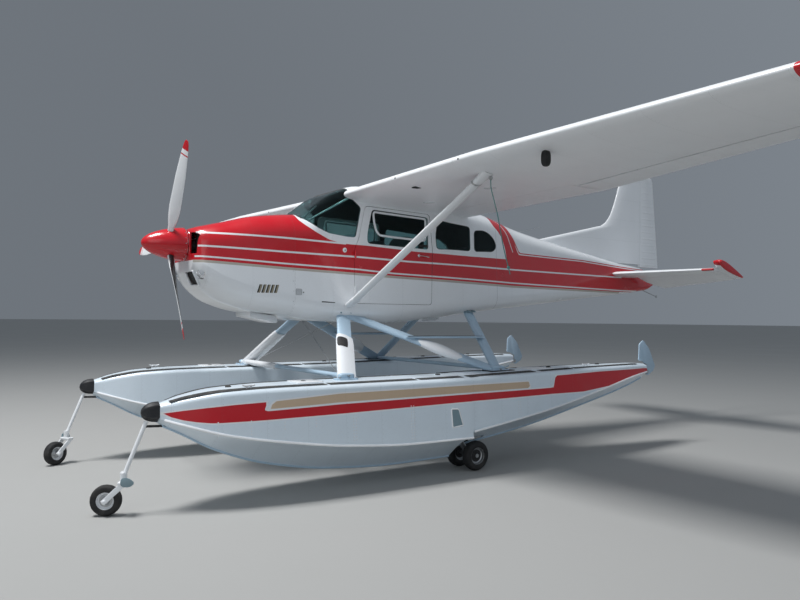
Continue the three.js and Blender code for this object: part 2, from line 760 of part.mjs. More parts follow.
const POST_RADIUS = 30;
const WATER_PIN = 12;
const toPort = new THREE.Matrix4().makeTranslation(0, -FLOAT_Y, 0);

function floatHull() {
  const hull = loft(FLOAT_FRONT.map(floatRing)).add(loft(FLOAT_REAR.map(floatRing)));
  const well = box([WHEEL_MAIN.x - 190, -215, 0], [WHEEL_MAIN.x + 190, 215, 330]);
  const bracket = box([4410, -22, 868], [WATER_POST_X - POST_RADIUS - GAP, 22, 960]);
  return moved(hull.subtract(well).add(bracket), toPort);
}

function bumper() {
  const front = FLOAT_FRONT[0];
  const rows = [[-1530 - GAP, 1], [-1590, 0.92], [-1640, 0.66], [-1664, 0.3]];
  const shapes = rows.map(([x, share]) => (
    floatRing([x, ...front.slice(1)]).map((point) => vec(
      x,
      point.y * share,
      780 + (point.z - 765) * share,
    ))
  ));
  return moved(loft(shapes), toPort);
}

// The part of the way from one point to another.
const between = (from, to, share) => from.map((value, axis) => value + (to[axis] - value) * share);

const floatBody = floatHull();
const hullCut = joined(
  floatBody,
  moved(floatBody, new THREE.Matrix4().makeTranslation(0, 0, GAP)),
  moved(floatBody, new THREE.Matrix4().makeTranslation(0, 0, -GAP)),
);

function floatStruts() {
  const [fx, fy, fz] = STRUT_FOOT_FRONT;
  const [bx, by] = STRUT_FOOT_REAR;
  const cuffEnd = between(STRUT_FOOT_FRONT, STRUT_TOP_FRONT, 0.55);
  return joined(
    bar(STRUT_FOOT_FRONT, STRUT_TOP_FRONT, 150, 46),
    bar([fx, fy, fz], cuffEnd, 186, 66),
    bar(STRUT_FOOT_REAR, STRUT_TOP_FRONT, 130, 44),
    bar(STRUT_FOOT_REAR, STRUT_TOP_REAR, 134, 46),
    bar([1130, -758, 1342], [2145, -802, 1334], 30, 92, 8),
    box([fx - 110, fy - 60, 940], [fx + 110, fy + 60, 1000]),
    box([bx - 130, by - 60, 940], [bx + 130, by + 60, 1015]),
  ).subtract(bodyEnvelope).subtract(hullCut);
}

function spreader(x, z, width, grow = 0) {
  const end = FLOAT_Y - 60 - GAP;
  return bar([x, -end, z], [x, end, z], width + grow, SPREADER_THICKNESS + grow);
}

const SPREADER_THICKNESS = 44;
const SPREADER_FRONT = [STRUT_FOOT_FRONT[0], 1003, 110];
const SPREADER_REAR = [STRUT_FOOT_REAR[0], 1012, 90];

const strutSet = floatStruts();

// A spreader bar ends against the struts' feet on both floats.
function seatedSpreader(x, z, width) {
  const cut = strutSet.add(moved(strutSet, new THREE.Matrix4().makeTranslation(0, GAP, 0)));
  return spreader(x, z, width).subtract(cut).subtract(mirrored(cut));
}

function braceWire(offset) {
  return rod([STRUT_FOOT_FRONT[0] + offset, -1090, 1000], [540 + offset, 410, 1530], 9, 6)
    .subtract(bodyEnvelope)
    .subtract(spreader(...SPREADER_FRONT, 2 * GAP));
}

// Gear

const HUB_SHARE = 0.55; // of the tyre's width

function wheel(x, y, z, radius, width) {
  const half = width / 2;
  const hub = half * HUB_SHARE;
  const profile = [
    [0, -hub], [radius * 0.24, -hub], [radius * 0.26, -half * 0.3],
    [radius * 0.5, -half * 0.3], [radius * 0.55, -half * 0.8], [radius * 0.8, -half],
    [radius * 0.94, -half * 0.72], [radius, -half * 0.3], [radius, half * 0.3],
    [radius * 0.94, half * 0.72], [radius * 0.8, half], [radius * 0.55, half * 0.8],
    [radius * 0.5, half * 0.3], [radius * 0.26, half * 0.3], [radius * 0.24, hub],
    [0, hub],
  ];
  return turnedAcross(profile, x, y, z, 28);
}

const NOSE_TURN = Math.atan2(SWIVEL.y - WHEEL_NOSE.y, SWIVEL.x - WHEEL_NOSE.x);
const NOSE_TRAIL = Math.hypot(SWIVEL.y - WHEEL_NOSE.y, SWIVEL.x - WHEEL_NOSE.x);

// Pieces of the caster are drawn with the wheel straight ahead of the swivel, then turned inboard.
const casterTurn = new THREE.Matrix4().makeTranslation(SWIVEL.x, -SWIVEL.y, 0)
  .multiply(new THREE.Matrix4().makeRotationZ(-NOSE_TURN));

const noseWheel = () => moved(
  wheel(-NOSE_TRAIL, 0, WHEEL_NOSE.radius, WHEEL_NOSE.radius, WHEEL_NOSE.width),
  casterTurn,
);

function noseFork() {
  const { radius, width } = WHEEL_NOSE;
  const armY = width / 2 + 14;
  const hubY = HUB_SHARE * width / 2 + GAP;
  const arm = (y) => bar([-NOSE_TRAIL, y, radius], [10, y, 256], 34, 14, 8);
  const stub = (way) => rod(
    [-NOSE_TRAIL, way * (armY + 7), radius],
    [-NOSE_TRAIL, way * hubY, radius],
    22,
  );
  const crown = box([-26, -armY - 7, 248], [40, armY + 7, 268]);
  return moved(joined(arm(-armY), arm(armY), stub(-1), stub(1), crown), casterTurn);
}

function noseLeg() {
  const [sx, sy] = [SWIVEL.x, -SWIVEL.y];
  return joined(
    bar([sx, sy, 300], [-1632, -FLOAT_Y, 680], 34, 34, 12),
    rod([sx, sy, 268 + GAP], [sx, sy, 312], 52, 12),
    bar([-1648, -FLOAT_Y, 672], [-1455, -FLOAT_Y, 664], 36, 34, 8),
  ).subtract(hullCut);
}

const MAIN_AXLE = 40;

function mainWheels() {
  const { x, radius, width, track } = WHEEL_MAIN;
  return joined(
    wheel(x, -FLOAT_Y - track, radius, radius, width),
    wheel(x, -FLOAT_Y + track, radius, radius, width),
    rod([x, -FLOAT_Y - track, radius], [x, -FLOAT_Y + track, radius], MAIN_AXLE, 12),
  );
}

function mainLeg() {
  const { x, radius } = WHEEL_MAIN;
  const collar = rod([x, -FLOAT_Y - 30, radius], [x, -FLOAT_Y + 30, radius], 88, 16);
  const leg = bar([x - 20, -FLOAT_Y, radius + 36], [x - 130, -FLOAT_Y, 340], 60, 50, 8);
  const boreSize = MAIN_AXLE + 2 * BEARING_SLACK;
  const bore = rod([x, -FLOAT_Y - 60, radius], [x, -FLOAT_Y + 60, radius], boreSize, 16);
  return joined(collar, leg).subtract(bore).subtract(hullCut);
}

// The post that turns on the float's stern and carries the water rudder between its two ears.
function waterPost() {
  const [postX, postY] = [WATER_POST_X, -FLOAT_Y];
  const { x, z } = WATER_PIVOT;
  const post = rod([postX, postY, 905], [postX, postY, 990], 2 * POST_RADIUS, 12);
  const slot = box([postX - 5, postY - 13, 840], [postX + 60, postY + 13, 1000]);
  const ear = (y) => box([postX, y - 4, z - 18], [x + 20, y + 4, z + 25]);
  const pin = rod([x, postY - 24, z], [x, postY + 24, z], WATER_PIN, 12);
  return joined(post.subtract(slot), ear(postY - 18), ear(postY + 18), pin);
}

// Water rudder at the stern, raised, with the hole for its pin.
function waterRudder() {
  const { x, z } = WATER_PIVOT;
  const outline = [
    [4486, 872], [4535, 845], [4640, 900], [4676, 960], [4560, 1180], [4446, 1288],
    [4372, 1240], [4360, 1036], [4440, 1022], [4486, 985],
  ];
  const pinHole = WATER_PIN + 2 * BEARING_SLACK;
  return sidePlate(outline, -FLOAT_Y - 8, -FLOAT_Y + 8)
    .subtract(rod([x, -FLOAT_Y - 20, z], [x, -FLOAT_Y + 20, z], pinHole, 12));
}

const ROPE_RADIUS = 4.5;

function ropeAndKnot() {
  const [topX, topY, topZ] = ROPE_TOP;
  const points = [
    [0, 0, 0], [4, 0, -60], [36, -2, -170], [76, -4, -295],
    [106, -6, -420], [134, -8, -540], [166, -10, -650], [196, -12, -740], [216, -13, -800],
  ].map(([x, y, z]) => vec(topX + x, topY + y, topZ + z));
  const path = new THREE.CatmullRomCurve3(points);
  const section = new THREE.Shape(Array.from({ length: 8 }, (_, i) => (
    new THREE.Vector2(ROPE_RADIUS, 0).rotateAround(new THREE.Vector2(0, 0), (Math.PI * i) / 4)
  )));
  const settings = { steps: 40, extrudePath: path, bevelEnabled: false };
  const cord = new THREE.ExtrudeGeometry(section, settings);
  const knot = new THREE.SphereGeometry(14, 10, 8);
  knot.translate(topX + 196, topY - 12, topZ - 742);
  return toSolid(cord).add(toSolid(knot));
}

// The aircraft

const aircraft = new THREE.Group();
aircraft.position.x = -ORIGIN_STATION;

function place(name, solid, paint) {
  const mesh = new THREE.Mesh(toGeometry(solid), new THREE.MeshStandardMaterial(PAINT[paint]));
  mesh.name = name;
  aircraft.add(mesh);
}

function placePair(name, solid, paint) {
  place(`${name}_left`, solid, paint);
  place(`${name}_right`, mirrored(solid), paint);
}

place('cabin_shell', cabinShell(), 'white');
place('tailcone', tailcone(), 'white');
place('cowling', cowling(), 'red');
place('engine_block', engineBlock(), 'steel');
place('cowl_flap', cowlFlap(), 'white');
place('windshield', windshield(), 'glass');
place('instrument_panel', instrumentPanel(), 'cabin');
place('rear_bench', rearBench(), 'cabin');
place('fin', fin(), 'white');
place('rudder', rudder(), 'white');
place('stabiliser', stabiliser(), 'white');
place('spinner', spinner(), 'red');
place('elevator', elevator(), 'white');
place('spreader_front', seatedSpreader(...SPREADER_FRONT), 'strut');
place('spreader_rear', seatedSpreader(...SPREADER_REAR), 'strut');
place('brace_wire_1', braceWire(-12), 'steel');
place('brace_wire_2', mirrored(braceWire(12)), 'steel');
place('tie_rope', ropeAndKnot(), 'rope');

placePair('door', door(), 'white');
placePair('door_window', doorWindow(), 'glass');
placePair('side_glass', sideGlass(), 'glass');
placePair('front_seat', seat(), 'cabin');
placePair('wing', wing(), 'white');
placePair('flap', flap(), 'white');
placePair('aileron', aileron(), 'white');
placePair('wing_strut', wingStrut(), 'strut');
placePair('float', floatBody, 'hull');
placePair('bow_bumper', bumper(), 'rubber');
placePair('float_struts', strutSet, 'strut');
placePair('nose_leg', noseLeg(), 'white');
placePair('nose_fork', noseFork(), 'steel');
placePair('nose_wheel', noseWheel(), 'rubber');
placePair('main_leg', mainLeg(), 'steel');
placePair('main_wheels', mainWheels(), 'rubber');
placePair('water_post', waterPost(), 'steel');
placePair('water_rudder', waterRudder(), 'hull');

BLADE_ANGLES.forEach((angle, number) => {
  place(`blade_${number + 1}`, blade(angle), 'white');
});

export default aircraft;
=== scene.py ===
"""The looks of a light high-wing floatplane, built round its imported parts.

Lengths are in metres, +X aft, +Y to starboard, +Z up, with the origin on the ground. A station is
a distance aft of the firewall, which stands STATION_ZERO ahead of the origin.
"""

import json
import logging
import math
from collections.abc import Callable, Iterable, Sequence
from dataclasses import dataclass
from enum import Enum

import bmesh
import bpy
import numpy as np
from mathutils import Matrix

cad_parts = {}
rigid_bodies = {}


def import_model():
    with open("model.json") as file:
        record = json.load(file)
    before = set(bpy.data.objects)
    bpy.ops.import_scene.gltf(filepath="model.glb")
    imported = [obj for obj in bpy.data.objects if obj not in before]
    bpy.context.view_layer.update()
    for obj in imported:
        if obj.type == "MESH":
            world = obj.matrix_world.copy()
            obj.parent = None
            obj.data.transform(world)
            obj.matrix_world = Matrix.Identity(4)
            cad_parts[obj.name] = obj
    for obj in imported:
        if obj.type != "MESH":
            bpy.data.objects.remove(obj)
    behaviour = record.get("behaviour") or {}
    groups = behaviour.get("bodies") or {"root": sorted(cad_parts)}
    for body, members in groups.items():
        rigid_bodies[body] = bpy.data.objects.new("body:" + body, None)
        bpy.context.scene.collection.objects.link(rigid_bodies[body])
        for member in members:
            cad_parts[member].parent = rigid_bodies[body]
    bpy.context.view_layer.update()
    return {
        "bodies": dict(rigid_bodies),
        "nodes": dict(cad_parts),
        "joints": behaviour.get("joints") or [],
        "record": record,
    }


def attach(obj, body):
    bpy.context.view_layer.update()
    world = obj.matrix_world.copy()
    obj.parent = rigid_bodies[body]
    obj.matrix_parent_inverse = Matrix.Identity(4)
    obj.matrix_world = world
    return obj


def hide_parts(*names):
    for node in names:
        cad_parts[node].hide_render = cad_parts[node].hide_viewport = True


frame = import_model()
LOG = logging.getLogger("floatplane")
STATION_ZERO = 2.160
SHAFT_Z = 2.241
PORT = -1.0
STARBOARD = 1.0
SIDES = {"left": PORT, "right": STARBOARD}
Points = np.ndarray
Outline = Points | Sequence[tuple[float, float]]
Faces = list[tuple[int, ...]]
Shape = tuple[np.ndarray, Faces]


class Body(str, Enum):
    """The rigid bodies that pieces ride on, without the side of a pair."""

    AIRFRAME = "airframe"
    PROPELLER = "propeller"
    ELEVATOR = "elevator"
    RUDDER = "rudder"
    DOOR = "door"
    FLAP = "flap"
    AILERON = "aileron"
    NOSE_FORK = "nose_fork"
    NOSE_WHEEL = "nose_wheel"
    MAIN_WHEELS = "main_wheels"
    WATER_POST = "water_post"
    WATER_RUDDER = "water_rudder"


class Cut(str, Enum):
    """What a cutter does to a piece."""

    TAKE_AWAY = "DIFFERENCE"
    KEEP = "INTERSECT"


# Surfaces


def smooth_table(stations: np.ndarray, knots: np.ndarray, values: np.ndarray) -> np.ndarray:
    """Values between knots on a curve that never overshoots them.

    Each span is a cubic whose end slopes are the harmonic mean of the slopes on either side, and
    zero where those differ in sign.

    Args:
        stations: where the values are wanted.
        knots: the table's places, rising.
        values: the table's values, one row a knot.

    Returns:
        One row of values for each station.
    """
    gaps = np.diff(knots)
    rise = np.diff(values, axis=0) / gaps[:, None]
    before, after = rise[:-1], rise[1:]
    total = np.where(np.abs(before + after) < 1e-12, 1.0, before + after)
    inner = np.where(before * after > 0, 2 * before * after / total, 0.0)
    slope = np.vstack([rise[:1], inner, rise[-1:]])
    place = np.clip(np.searchsorted(knots, stations) - 1, 0, len(gaps) - 1)
    gap = gaps[place][:, None]
    share = ((stations - knots[place])[:, None] / gap).clip(0, 1)
    low, high = values[place], values[place + 1]
    return (
        low * (1 + 2 * share) * (1 - share) ** 2
        + slope[place] * gap * share * (1 - share) ** 2
        + high * share**2 * (3 - 2 * share)
        + slope[place + 1] * gap * share**2 * (share - 1)
    )


def rounded(outline: Outline, radius: float, steps: int = 5) -> Points:
    """A closed outline with its corners rounded.

    Each corner becomes a quadratic curve from a point before it to a point after it, both a
    radius away, or half the side's length where the side is short.
    """
    outline = np.asarray(outline, float)
    before = np.roll(outline, 1, axis=0) - outline
    after = np.roll(outline, -1, axis=0) - outline
    reach = [np.linalg.norm(way, axis=1, keepdims=True) for way in (before, after)]
    start, end = (
        outline + way / length * np.minimum(radius, 0.45 * length)
        for way, length in zip((before, after), reach)
    )
    share = np.linspace(0, 1, steps)[None, :, None]
    curve = (
        start[:, None] * (1 - share) ** 2
        + 2 * outline[:, None] * share * (1 - share)
        + end[:, None] * share**2
    )
    return curve.reshape(-1, outline.shape[1])


def grid_faces(rows: int, columns: int, closed: bool) -> Faces:
    """The four-sided faces between the points of a grid, closed round its columns if asked."""
    across = np.arange(columns if closed else columns - 1)
    start = np.arange(rows - 1)[:, None] * columns
    turn = (across + 1) % columns
    faces = np.stack([start + across, start + turn, start + columns + turn, start + columns + across], -1)
    return [tuple(face) for face in faces.reshape(-1, 4).tolist()]


def loft(rings: Points, capped: bool = True) -> Shape:
    """A skin through rings of equally many points, its two ends closed by one face each."""
    rows, columns = rings.shape[:2]
    faces = grid_faces(rows, columns, True)
    if capped:
        faces.append(tuple(range(columns)))
        faces.append(tuple(range(rows * columns - columns, rows * columns)))
    return rings.reshape(-1, 3), faces


def sheet(points: Points) -> Shape:
    """An open skin through a grid of points."""
    return points.reshape(-1, 3), grid_faces(points.shape[0], points.shape[1], False)


def joined(shapes: Iterable[Shape]) -> Shape:
    """Several shapes as one list of points and faces."""
    points: list[np.ndarray] = []
    faces: Faces = []
    count = 0
    for more_points, more_faces in shapes:
        points.append(np.asarray(more_points, float))
        faces += [tuple(corner + count for corner in face) for face in more_faces]
        count += len(more_points)
    return np.vstack(points), faces


def frames_along(path: Points, up: Sequence[float]) -> tuple[Points, Points, Points]:
    """The direction of a path at each point, and two directions square to it.

    The direction is the path's gradient, the first cross direction is up crossed with it, and the
    second is the direction crossed with the first.
    """
    along = np.gradient(path, axis=0)
    along /= np.linalg.norm(along, axis=1, keepdims=True)
    across = np.cross(np.asarray(up, float), along)
    across /= np.linalg.norm(across, axis=1, keepdims=True)
    return along, across, np.cross(along, across)


def swept(path: Points, profile: Points, up: Sequence[float] = (0, 0, 1)) -> Shape:
    """A closed profile carried along a path.

    Args:
        path: the points of the path.
        profile: points (a, b) or one such list for each point of the path, where a is measured
            square to up and b square to both the path and a.
        up: a direction that the path never takes.
    """
    _, across, over = frames_along(path, up)
    profile = np.broadcast_to(profile, (len(path), *np.shape(profile)[-2:]))
    rings = path[:, None] + profile[..., :1] * across[:, None] + profile[..., 1:] * over[:, None]
    return loft(rings)


def circle(radius: float, sides: int = 16) -> Points:
    """The points (r cos t, r sin t) of a circle."""
    turn = np.linspace(0, math.tau, sides, endpoint=False)
    return radius * np.stack([np.cos(turn), np.sin(turn)], 1)


def tube(path: Points, radius: float, sides: int = 12, up: Sequence[float] = (0, 0, 1)) -> Shape:
    """A round tube along a path."""
    return swept(np.asarray(path, float), circle(radius, sides), up)


def rod(start: Sequence[float], end: Sequence[float], radius: float, sides: int = 16) -> Shape:
    """A straight round rod between two points."""
    way = np.subtract(end, start)
    up = (0.0, 0.0, 1.0) if abs(way[2]) < 0.9 * np.linalg.norm(way) else (1.0, 0.0, 0.0)
    return tube(np.linspace(start, end, 2), radius, sides, up)


def bead(line: Points, radius: float, sides: int = 8, up: Sequence[float] = (0, 1, 0)) -> Shape:
    """A round bead that follows a line and comes back to its start."""
    return tube(np.vstack([line, line[:1]]), radius, sides, up)


def turned(
    profile: Outline, centre: Sequence[float], axis: Sequence[float], sides: int = 48, capped: bool = True
) -> Shape:
    """A profile of (radius, distance along) pairs turned about an axis, its ends closed if capped.

    A point is centre + distance * axis + radius * (cos t * a + sin t * b), with a and b square to
    the axis.
    """
    axis = np.asarray(axis, float) / np.linalg.norm(axis)
    helper = (0.0, 0.0, 1.0) if abs(axis[2]) < 0.9 else (1.0, 0.0, 0.0)
    first = np.cross(helper, axis)
    first /= np.linalg.norm(first)
    second = np.cross(axis, first)
    ring = circle(1.0, sides)
    spokes = ring[:, :1] * first + ring[:, 1:] * second
    profile = np.asarray(profile, float)
    rings = np.asarray(centre) + profile[:, 1, None, None] * axis + profile[:, :1, None] * spokes
    return loft(rings, capped)


def slab(outline: Outline, low: float, high: float, axis: int = 1) -> Shape:
    """A flat outline carried along one axis, from low to high.

    The outline's two numbers are the other two axes in order.
    """
    rings = np.insert(np.asarray(outline, float), axis, 0.0, axis=1)
    pair = np.stack([rings, rings])
    pair[0, :, axis] = low
    pair[1, :, axis] = high
    return loft(pair)


def through(outline: Outline) -> Shape:
    """An outline in side view, carried past both sides of the body for a cut."""
    return slab(outline, -0.9, 0.9)


def rectangle(x0: float, y0: float, x1: float, y1: float) -> Points:
    """The corners of a flat rectangle between two opposite ones."""
    return np.array([(x0, y0), (x1, y0), (x1, y1), (x0, y1)])


def block(low: Sequence[float], high: Sequence[float]) -> Shape:
    """A plain box between two corners."""
    (x0, y0, z0), (x1, y1, z1) = low, high
    return slab(rectangle(x0, y0, x1, y1), z0, z1, axis=2)


def pillow(low: Sequence[float], high: Sequence[float], power: float = 5.0, steps: int = 28) -> Shape:
    """A crowned closed form that fills a box.

    A point is the box's middle plus its half sizes times (c(u) c(v), s(u) c(v), s(v)), where c and
    s are a cosine and a sine raised to 2 / power with their sign kept.
    """
    low, high = np.asarray(low, float), np.asarray(high, float)

    def bent(value: np.ndarray) -> np.ndarray:
        """A cosine or sine raised to 2 / power with its sign kept."""
        return np.sign(value) * np.abs(value) ** (2 / power)

    turn = np.linspace(0, math.tau, 2 * steps, endpoint=False)[None, :]
    rise = np.linspace(-math.pi / 2, math.pi / 2, steps)[1:-1, None]
    level = bent(np.cos(rise))
    unit = np.stack([
        bent(np.cos(turn)) * level,
        bent(np.sin(turn)) * level,
        bent(np.sin(rise)) * np.ones_like(turn),
    ], -1)
    return loft((low + high) / 2 + unit * (high - low) / 2)


def on_side(shape: Shape, side: float) -> Shape:
    """A shape drawn to starboard with positive y, put on the wanted side."""
    points, faces = shape
    return np.asarray(points, float) * (1, side, 1), faces


# Meshes

SHARP_ANGLE = math.radians(32)
EASED_ANGLE = math.radians(35)


def as_object(name: str, shape: Shape, origin: float = STATION_ZERO) -> bpy.types.Object:
    """A mesh object of a closed or open shape, with faces that point outwards.

    The shape is drawn in stations, and origin is the station of the object's own zero.
    """
    points, faces = shape
    mesh = bpy.data.meshes.new(name)
    mesh.from_pydata((np.asarray(points, float) - (origin, 0, 0)).tolist(), [], faces)
    body = bmesh.new()
    body.from_mesh(mesh)
    bmesh.ops.remove_doubles(body, verts=body.verts, dist=1e-5)
    bmesh.ops.dissolve_degenerate(body, edges=body.edges, dist=1e-6)
    bmesh.ops.recalc_face_normals(body, faces=body.faces)
    body.to_mesh(mesh)
    body.free()
    item = bpy.data.objects.new(name, mesh)
    bpy.context.scene.collection.objects.link(item)
    return item


def settle(item: bpy.types.Object) -> None:
    """Turns an object's modifiers into its mesh."""
    graph = bpy.context.evaluated_depsgraph_get()
    mesh = bpy.data.meshes.new_from_object(item.evaluated_get(graph))
    item.modifiers.clear()
    item.data = mesh


def carve(item: bpy.types.Object, shapes: Iterable[Shape], cut: Cut = Cut.TAKE_AWAY) -> None:
    """Cuts a piece with closed shapes that don't touch each other.

    Args:
        item: the piece to cut.
        shapes: the cutters.
        cut: whether the cutters are taken away or kept.
    """
    cutter = as_object("cutter", joined(shapes))
    step = item.modifiers.new("carve", "BOOLEAN")
    step.operation = cut.value
    step.solver = "EXACT"
    step.object = cutter
    settle(item)
    bpy.data.objects.remove(cutter)


def thicken(item: bpy.types.Object, thickness: float, outwards: float = -1.0) -> None:
    """Gives an open skin a wall."""
    step = item.modifiers.new("wall", "SOLIDIFY")
    step.thickness = thickness
    step.offset = outwards
    step.use_even_offset = True
    settle(item)


def ease_edges(item: bpy.types.Object, width: float, segments: int = 2) -> None:
    """Rounds a piece's sharp edges."""
    step = item.modifiers.new("edges", "BEVEL")
    step.width = width
    step.segments = segments
    step.limit_method = "ANGLE"
    step.angle_limit = EASED_ANGLE
    settle(item)


def corners_of(item: bpy.types.Object) -> Points:
    """The places of a mesh's points."""
    flat = np.empty(len(item.data.vertices) * 3)
    item.data.vertices.foreach_get("co", flat)
    return flat.reshape(-1, 3)


def mark(item: bpy.types.Object, name: str, values: Points) -> None:
    """Keeps three numbers at each point of a mesh, for a material to read."""
    layer = item.data.attributes.new(name, "FLOAT_VECTOR", "POINT")
    layer.data.foreach_set("vector", np.asarray(values, float).ravel())


def lay_rivets(item: bpy.types.Object, axis: int) -> None:
    """Keeps the distance from the middle along an axis and the station, for rivet rows along ribs."""
    spots = corners_of(item)
    mark(item, "plating", np.stack([np.abs(spots[:, axis]), spots[:, 0], 0 * spots[:, 0]], 1))


def dress(
    item: bpy.types.Object,
    material: bpy.types.Material,
    slot: str,
    body: Body = Body.AIRFRAME,
    side: str = "",
    replaces: Sequence[str] = (),
) -> bpy.types.Object:
    """Gives a piece its finish, its body and the nodes that it stands for.

    Args:
        item: the piece.
        material: its finish.
        slot: the record's material slot of that finish; not used.
        body: the body that it rides on.
        side: left or right, for a body of a pair.
        replaces: the nodes that it stands for.

    Returns:
        The same piece.
    """
    item.data.materials.clear()
    item.data.materials.append(material)
    item.data.shade_smooth()
    item.data.set_sharp_from_angle(angle=SHARP_ANGLE)
    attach(item, f"{body.value}_{side}" if side else body.value)
    if replaces:
        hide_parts(*replaces)
    LOG.info("%s: %d faces", item.name, len(item.data.polygons))
    return item


def piece(
    name: str, shape: Shape, *finish: object, ease: float = 0.0, origin: float = STATION_ZERO,
    **given: object
) -> bpy.types.Object:
    """A piece made from its shape, its edges eased, and dressed with what dress() takes."""
    item = as_object(name, shape, origin)
    if ease:
        ease_edges(item, ease)
    return dress(item, *finish, **given)


def signed_inside(spots: Points, outline: Points) -> np.ndarray:
    """How far each flat spot lies inside a closed outline, negative outside.

    The distance is the smallest to any side of the outline, and its sign comes from how many
    sides a level ray from the spot crosses.
    """
    start = outline
    way = np.roll(outline, -1, axis=0) - start
    offset = spots[:, None] - start[None]
    share = (offset * way).sum(-1) / (way**2).sum(-1)
    near = offset - share.clip(0, 1)[..., None] * way
    distance = np.sqrt((near**2).sum(-1)).min(1)
    end = start + way
    above = (start[:, 1] > spots[:, 1:]) != (end[:, 1] > spots[:, 1:])
    rise = np.where(np.abs(way[:, 1]) < 1e-12, 1.0, way[:, 1])
    cross = start[:, 0] + (spots[:, 1:] - start[:, 1]) * way[:, 0] / rise
    inside = (above & (spots[:, :1] < cross)).sum(1) % 2 == 1
    return np.where(inside, distance, -distance)


# Finishes

Socket = bpy.types.NodeSocket
Colour = tuple[float, float, float]
WHITE: Colour = (0.82, 0.84, 0.86)
RED: Colour = (0.56, 0.003, 0.012)
BEIGE: Colour = (0.46, 0.42, 0.36)
GOLD: Colour = (0.60, 0.45, 0.31)
FLOAT_GREY: Colour = (0.71, 0.80, 0.87)
SEAM: Colour = (0.10, 0.10, 0.10)


class Graph:
    """A node tree with one call to add and wire a node."""

    def __init__(self, tree: bpy.types.NodeTree) -> None:
        """Starts from an empty tree."""
        self.tree = tree
        tree.nodes.clear()

    def add(
        self, kind: str, values: dict[int | str, object] | None = None, **settings: object,
    ) -> bpy.types.Node:
        """Adds a node.

        Args:
            kind: the node's type, without its ShaderNode prefix.
            values: numbers or sockets for its inputs, by name or place.
            settings: its own properties.

        Returns:
            The node.
        """
        node = self.tree.nodes.new(kind if kind.startswith("Node") else f"ShaderNode{kind}")
        for key, value in settings.items():
            setattr(node, key, value)
        for key, value in (values or {}).items():
            if isinstance(value, Socket):
                self.tree.links.new(value, node.inputs[key])
            else:
                node.inputs[key].default_value = value
        return node

    def math(self, operation: str, *values: object) -> Socket:
        """The result of one sum on numbers or sockets."""
        return self.add("Math", dict(enumerate(values)), operation=operation).outputs[0]

    def ramp(self, value: Socket, low: float, high: float, start: float = 0.0, end: float = 1.0) -> Socket:
        """A value mapped from low..high to start..end, held at both ends."""
        places = {0: value, 1: low, 2: high, 3: start, 4: end}
        return self.add("MapRange", places, clamp=True).outputs[0]

    def mix(self, share: object, first: object, second: object) -> Socket:
        """Two colours mixed by a share."""
        pair = {6: (*first, 1) if isinstance(first, tuple) else first}
        pair[7] = (*second, 1) if isinstance(second, tuple) else second
        return self.add("Mix", {0: share, **pair}, data_type="RGBA").outputs[2]

    def place(self) -> Socket:
        """The object's own coordinates."""
        return self.add("TexCoord").outputs["Object"]

    def noise(self, where: Socket, scale: float, detail: float = 3.0) -> Socket:
        """Cloudy noise, 0 to 1, with a number of blobs a metre."""
        values = {"Vector": where, "Scale": scale, "Detail": detail}
        return self.add("TexNoise", values).outputs[0]

    def part(self, vector: Socket, axis: int) -> Socket:
        """One number of a vector."""
        return self.add("SeparateXYZ", {0: vector}).outputs[axis]

    def stored(self, name: str, axis: int) -> Socket:
        """One number kept at the mesh's points."""
        node = self.add("Attribute", attribute_name=name, attribute_type="GEOMETRY")
        return self.part(node.outputs["Vector"], axis)

    def group(self, tree: bpy.types.NodeTree, values: dict[str, object]) -> bpy.types.Node:
        """A shared effect placed with its own values."""
        return self.add("Group", values, node_tree=tree)


def effect(
    name: str, inputs: dict[str, tuple[str, object]], outputs: dict[str, str],
) -> tuple[Graph, bpy.types.Node, bpy.types.Node]:
    """An empty node group with named inputs and outputs.

    Args:
        name: its name.
        inputs: each input's kind and first value.
        outputs: each output's kind.

    Returns:
        Its graph, its input node and its output node.
    """
    tree = bpy.data.node_groups.new(name, "ShaderNodeTree")
    for key, (kind, value) in inputs.items():
        socket = tree.interface.new_socket(key, in_out="INPUT", socket_type=f"NodeSocket{kind}")
        if value is not None:
            socket.default_value = value
    for key, kind in outputs.items():
        tree.interface.new_socket(key, in_out="OUTPUT", socket_type=f"NodeSocket{kind}")
    graph = Graph(tree)
    return graph, graph.add("NodeGroupInput"), graph.add("NodeGroupOutput")


def make_wear() -> bpy.types.NodeTree:
    """Handling and weather: cloudy tone, fine grime and a slightly uneven gloss and surface."""
    graph, given, out = effect(
        "wear",
        {
            "Color": ("Color", (0.5, 0.5, 0.5, 1)), "Place": ("Vector", None), "Grime": ("Float", 0.1),
            "Scale": ("Float", 3.0),
        },
        {"Color": "Color", "Gloss": "Float", "Height": "Float"},
    )
    where = given.outputs["Place"]
    cloud = graph.add(
        "TexNoise", {"Vector": where, "Scale": given.outputs["Scale"], "Detail": 4.0},
    ).outputs[0]
    fine = graph.noise(where, 55.0, 5.0)
    dirt = graph.math("MULTIPLY", graph.ramp(cloud, 0.45, 0.8), given.outputs["Grime"])
    specks = graph.math("MULTIPLY", graph.ramp(fine, 0.55, 0.85), given.outputs["Grime"])
    toned = graph.mix(dirt, given.outputs["Color"], (0.30, 0.28, 0.25))
    toned = graph.mix(specks, toned, (0.16, 0.15, 0.14))
    link = graph.tree.links.new
    link(toned, out.inputs["Color"])
    link(graph.ramp(cloud, 0.3, 0.8, 0.85, 1.35), out.inputs["Gloss"])
    link(
        graph.math("ADD", graph.math("MULTIPLY", cloud, 0.6), graph.math("MULTIPLY", fine, 0.08)),
        out.inputs["Height"],
    )
    return graph.tree


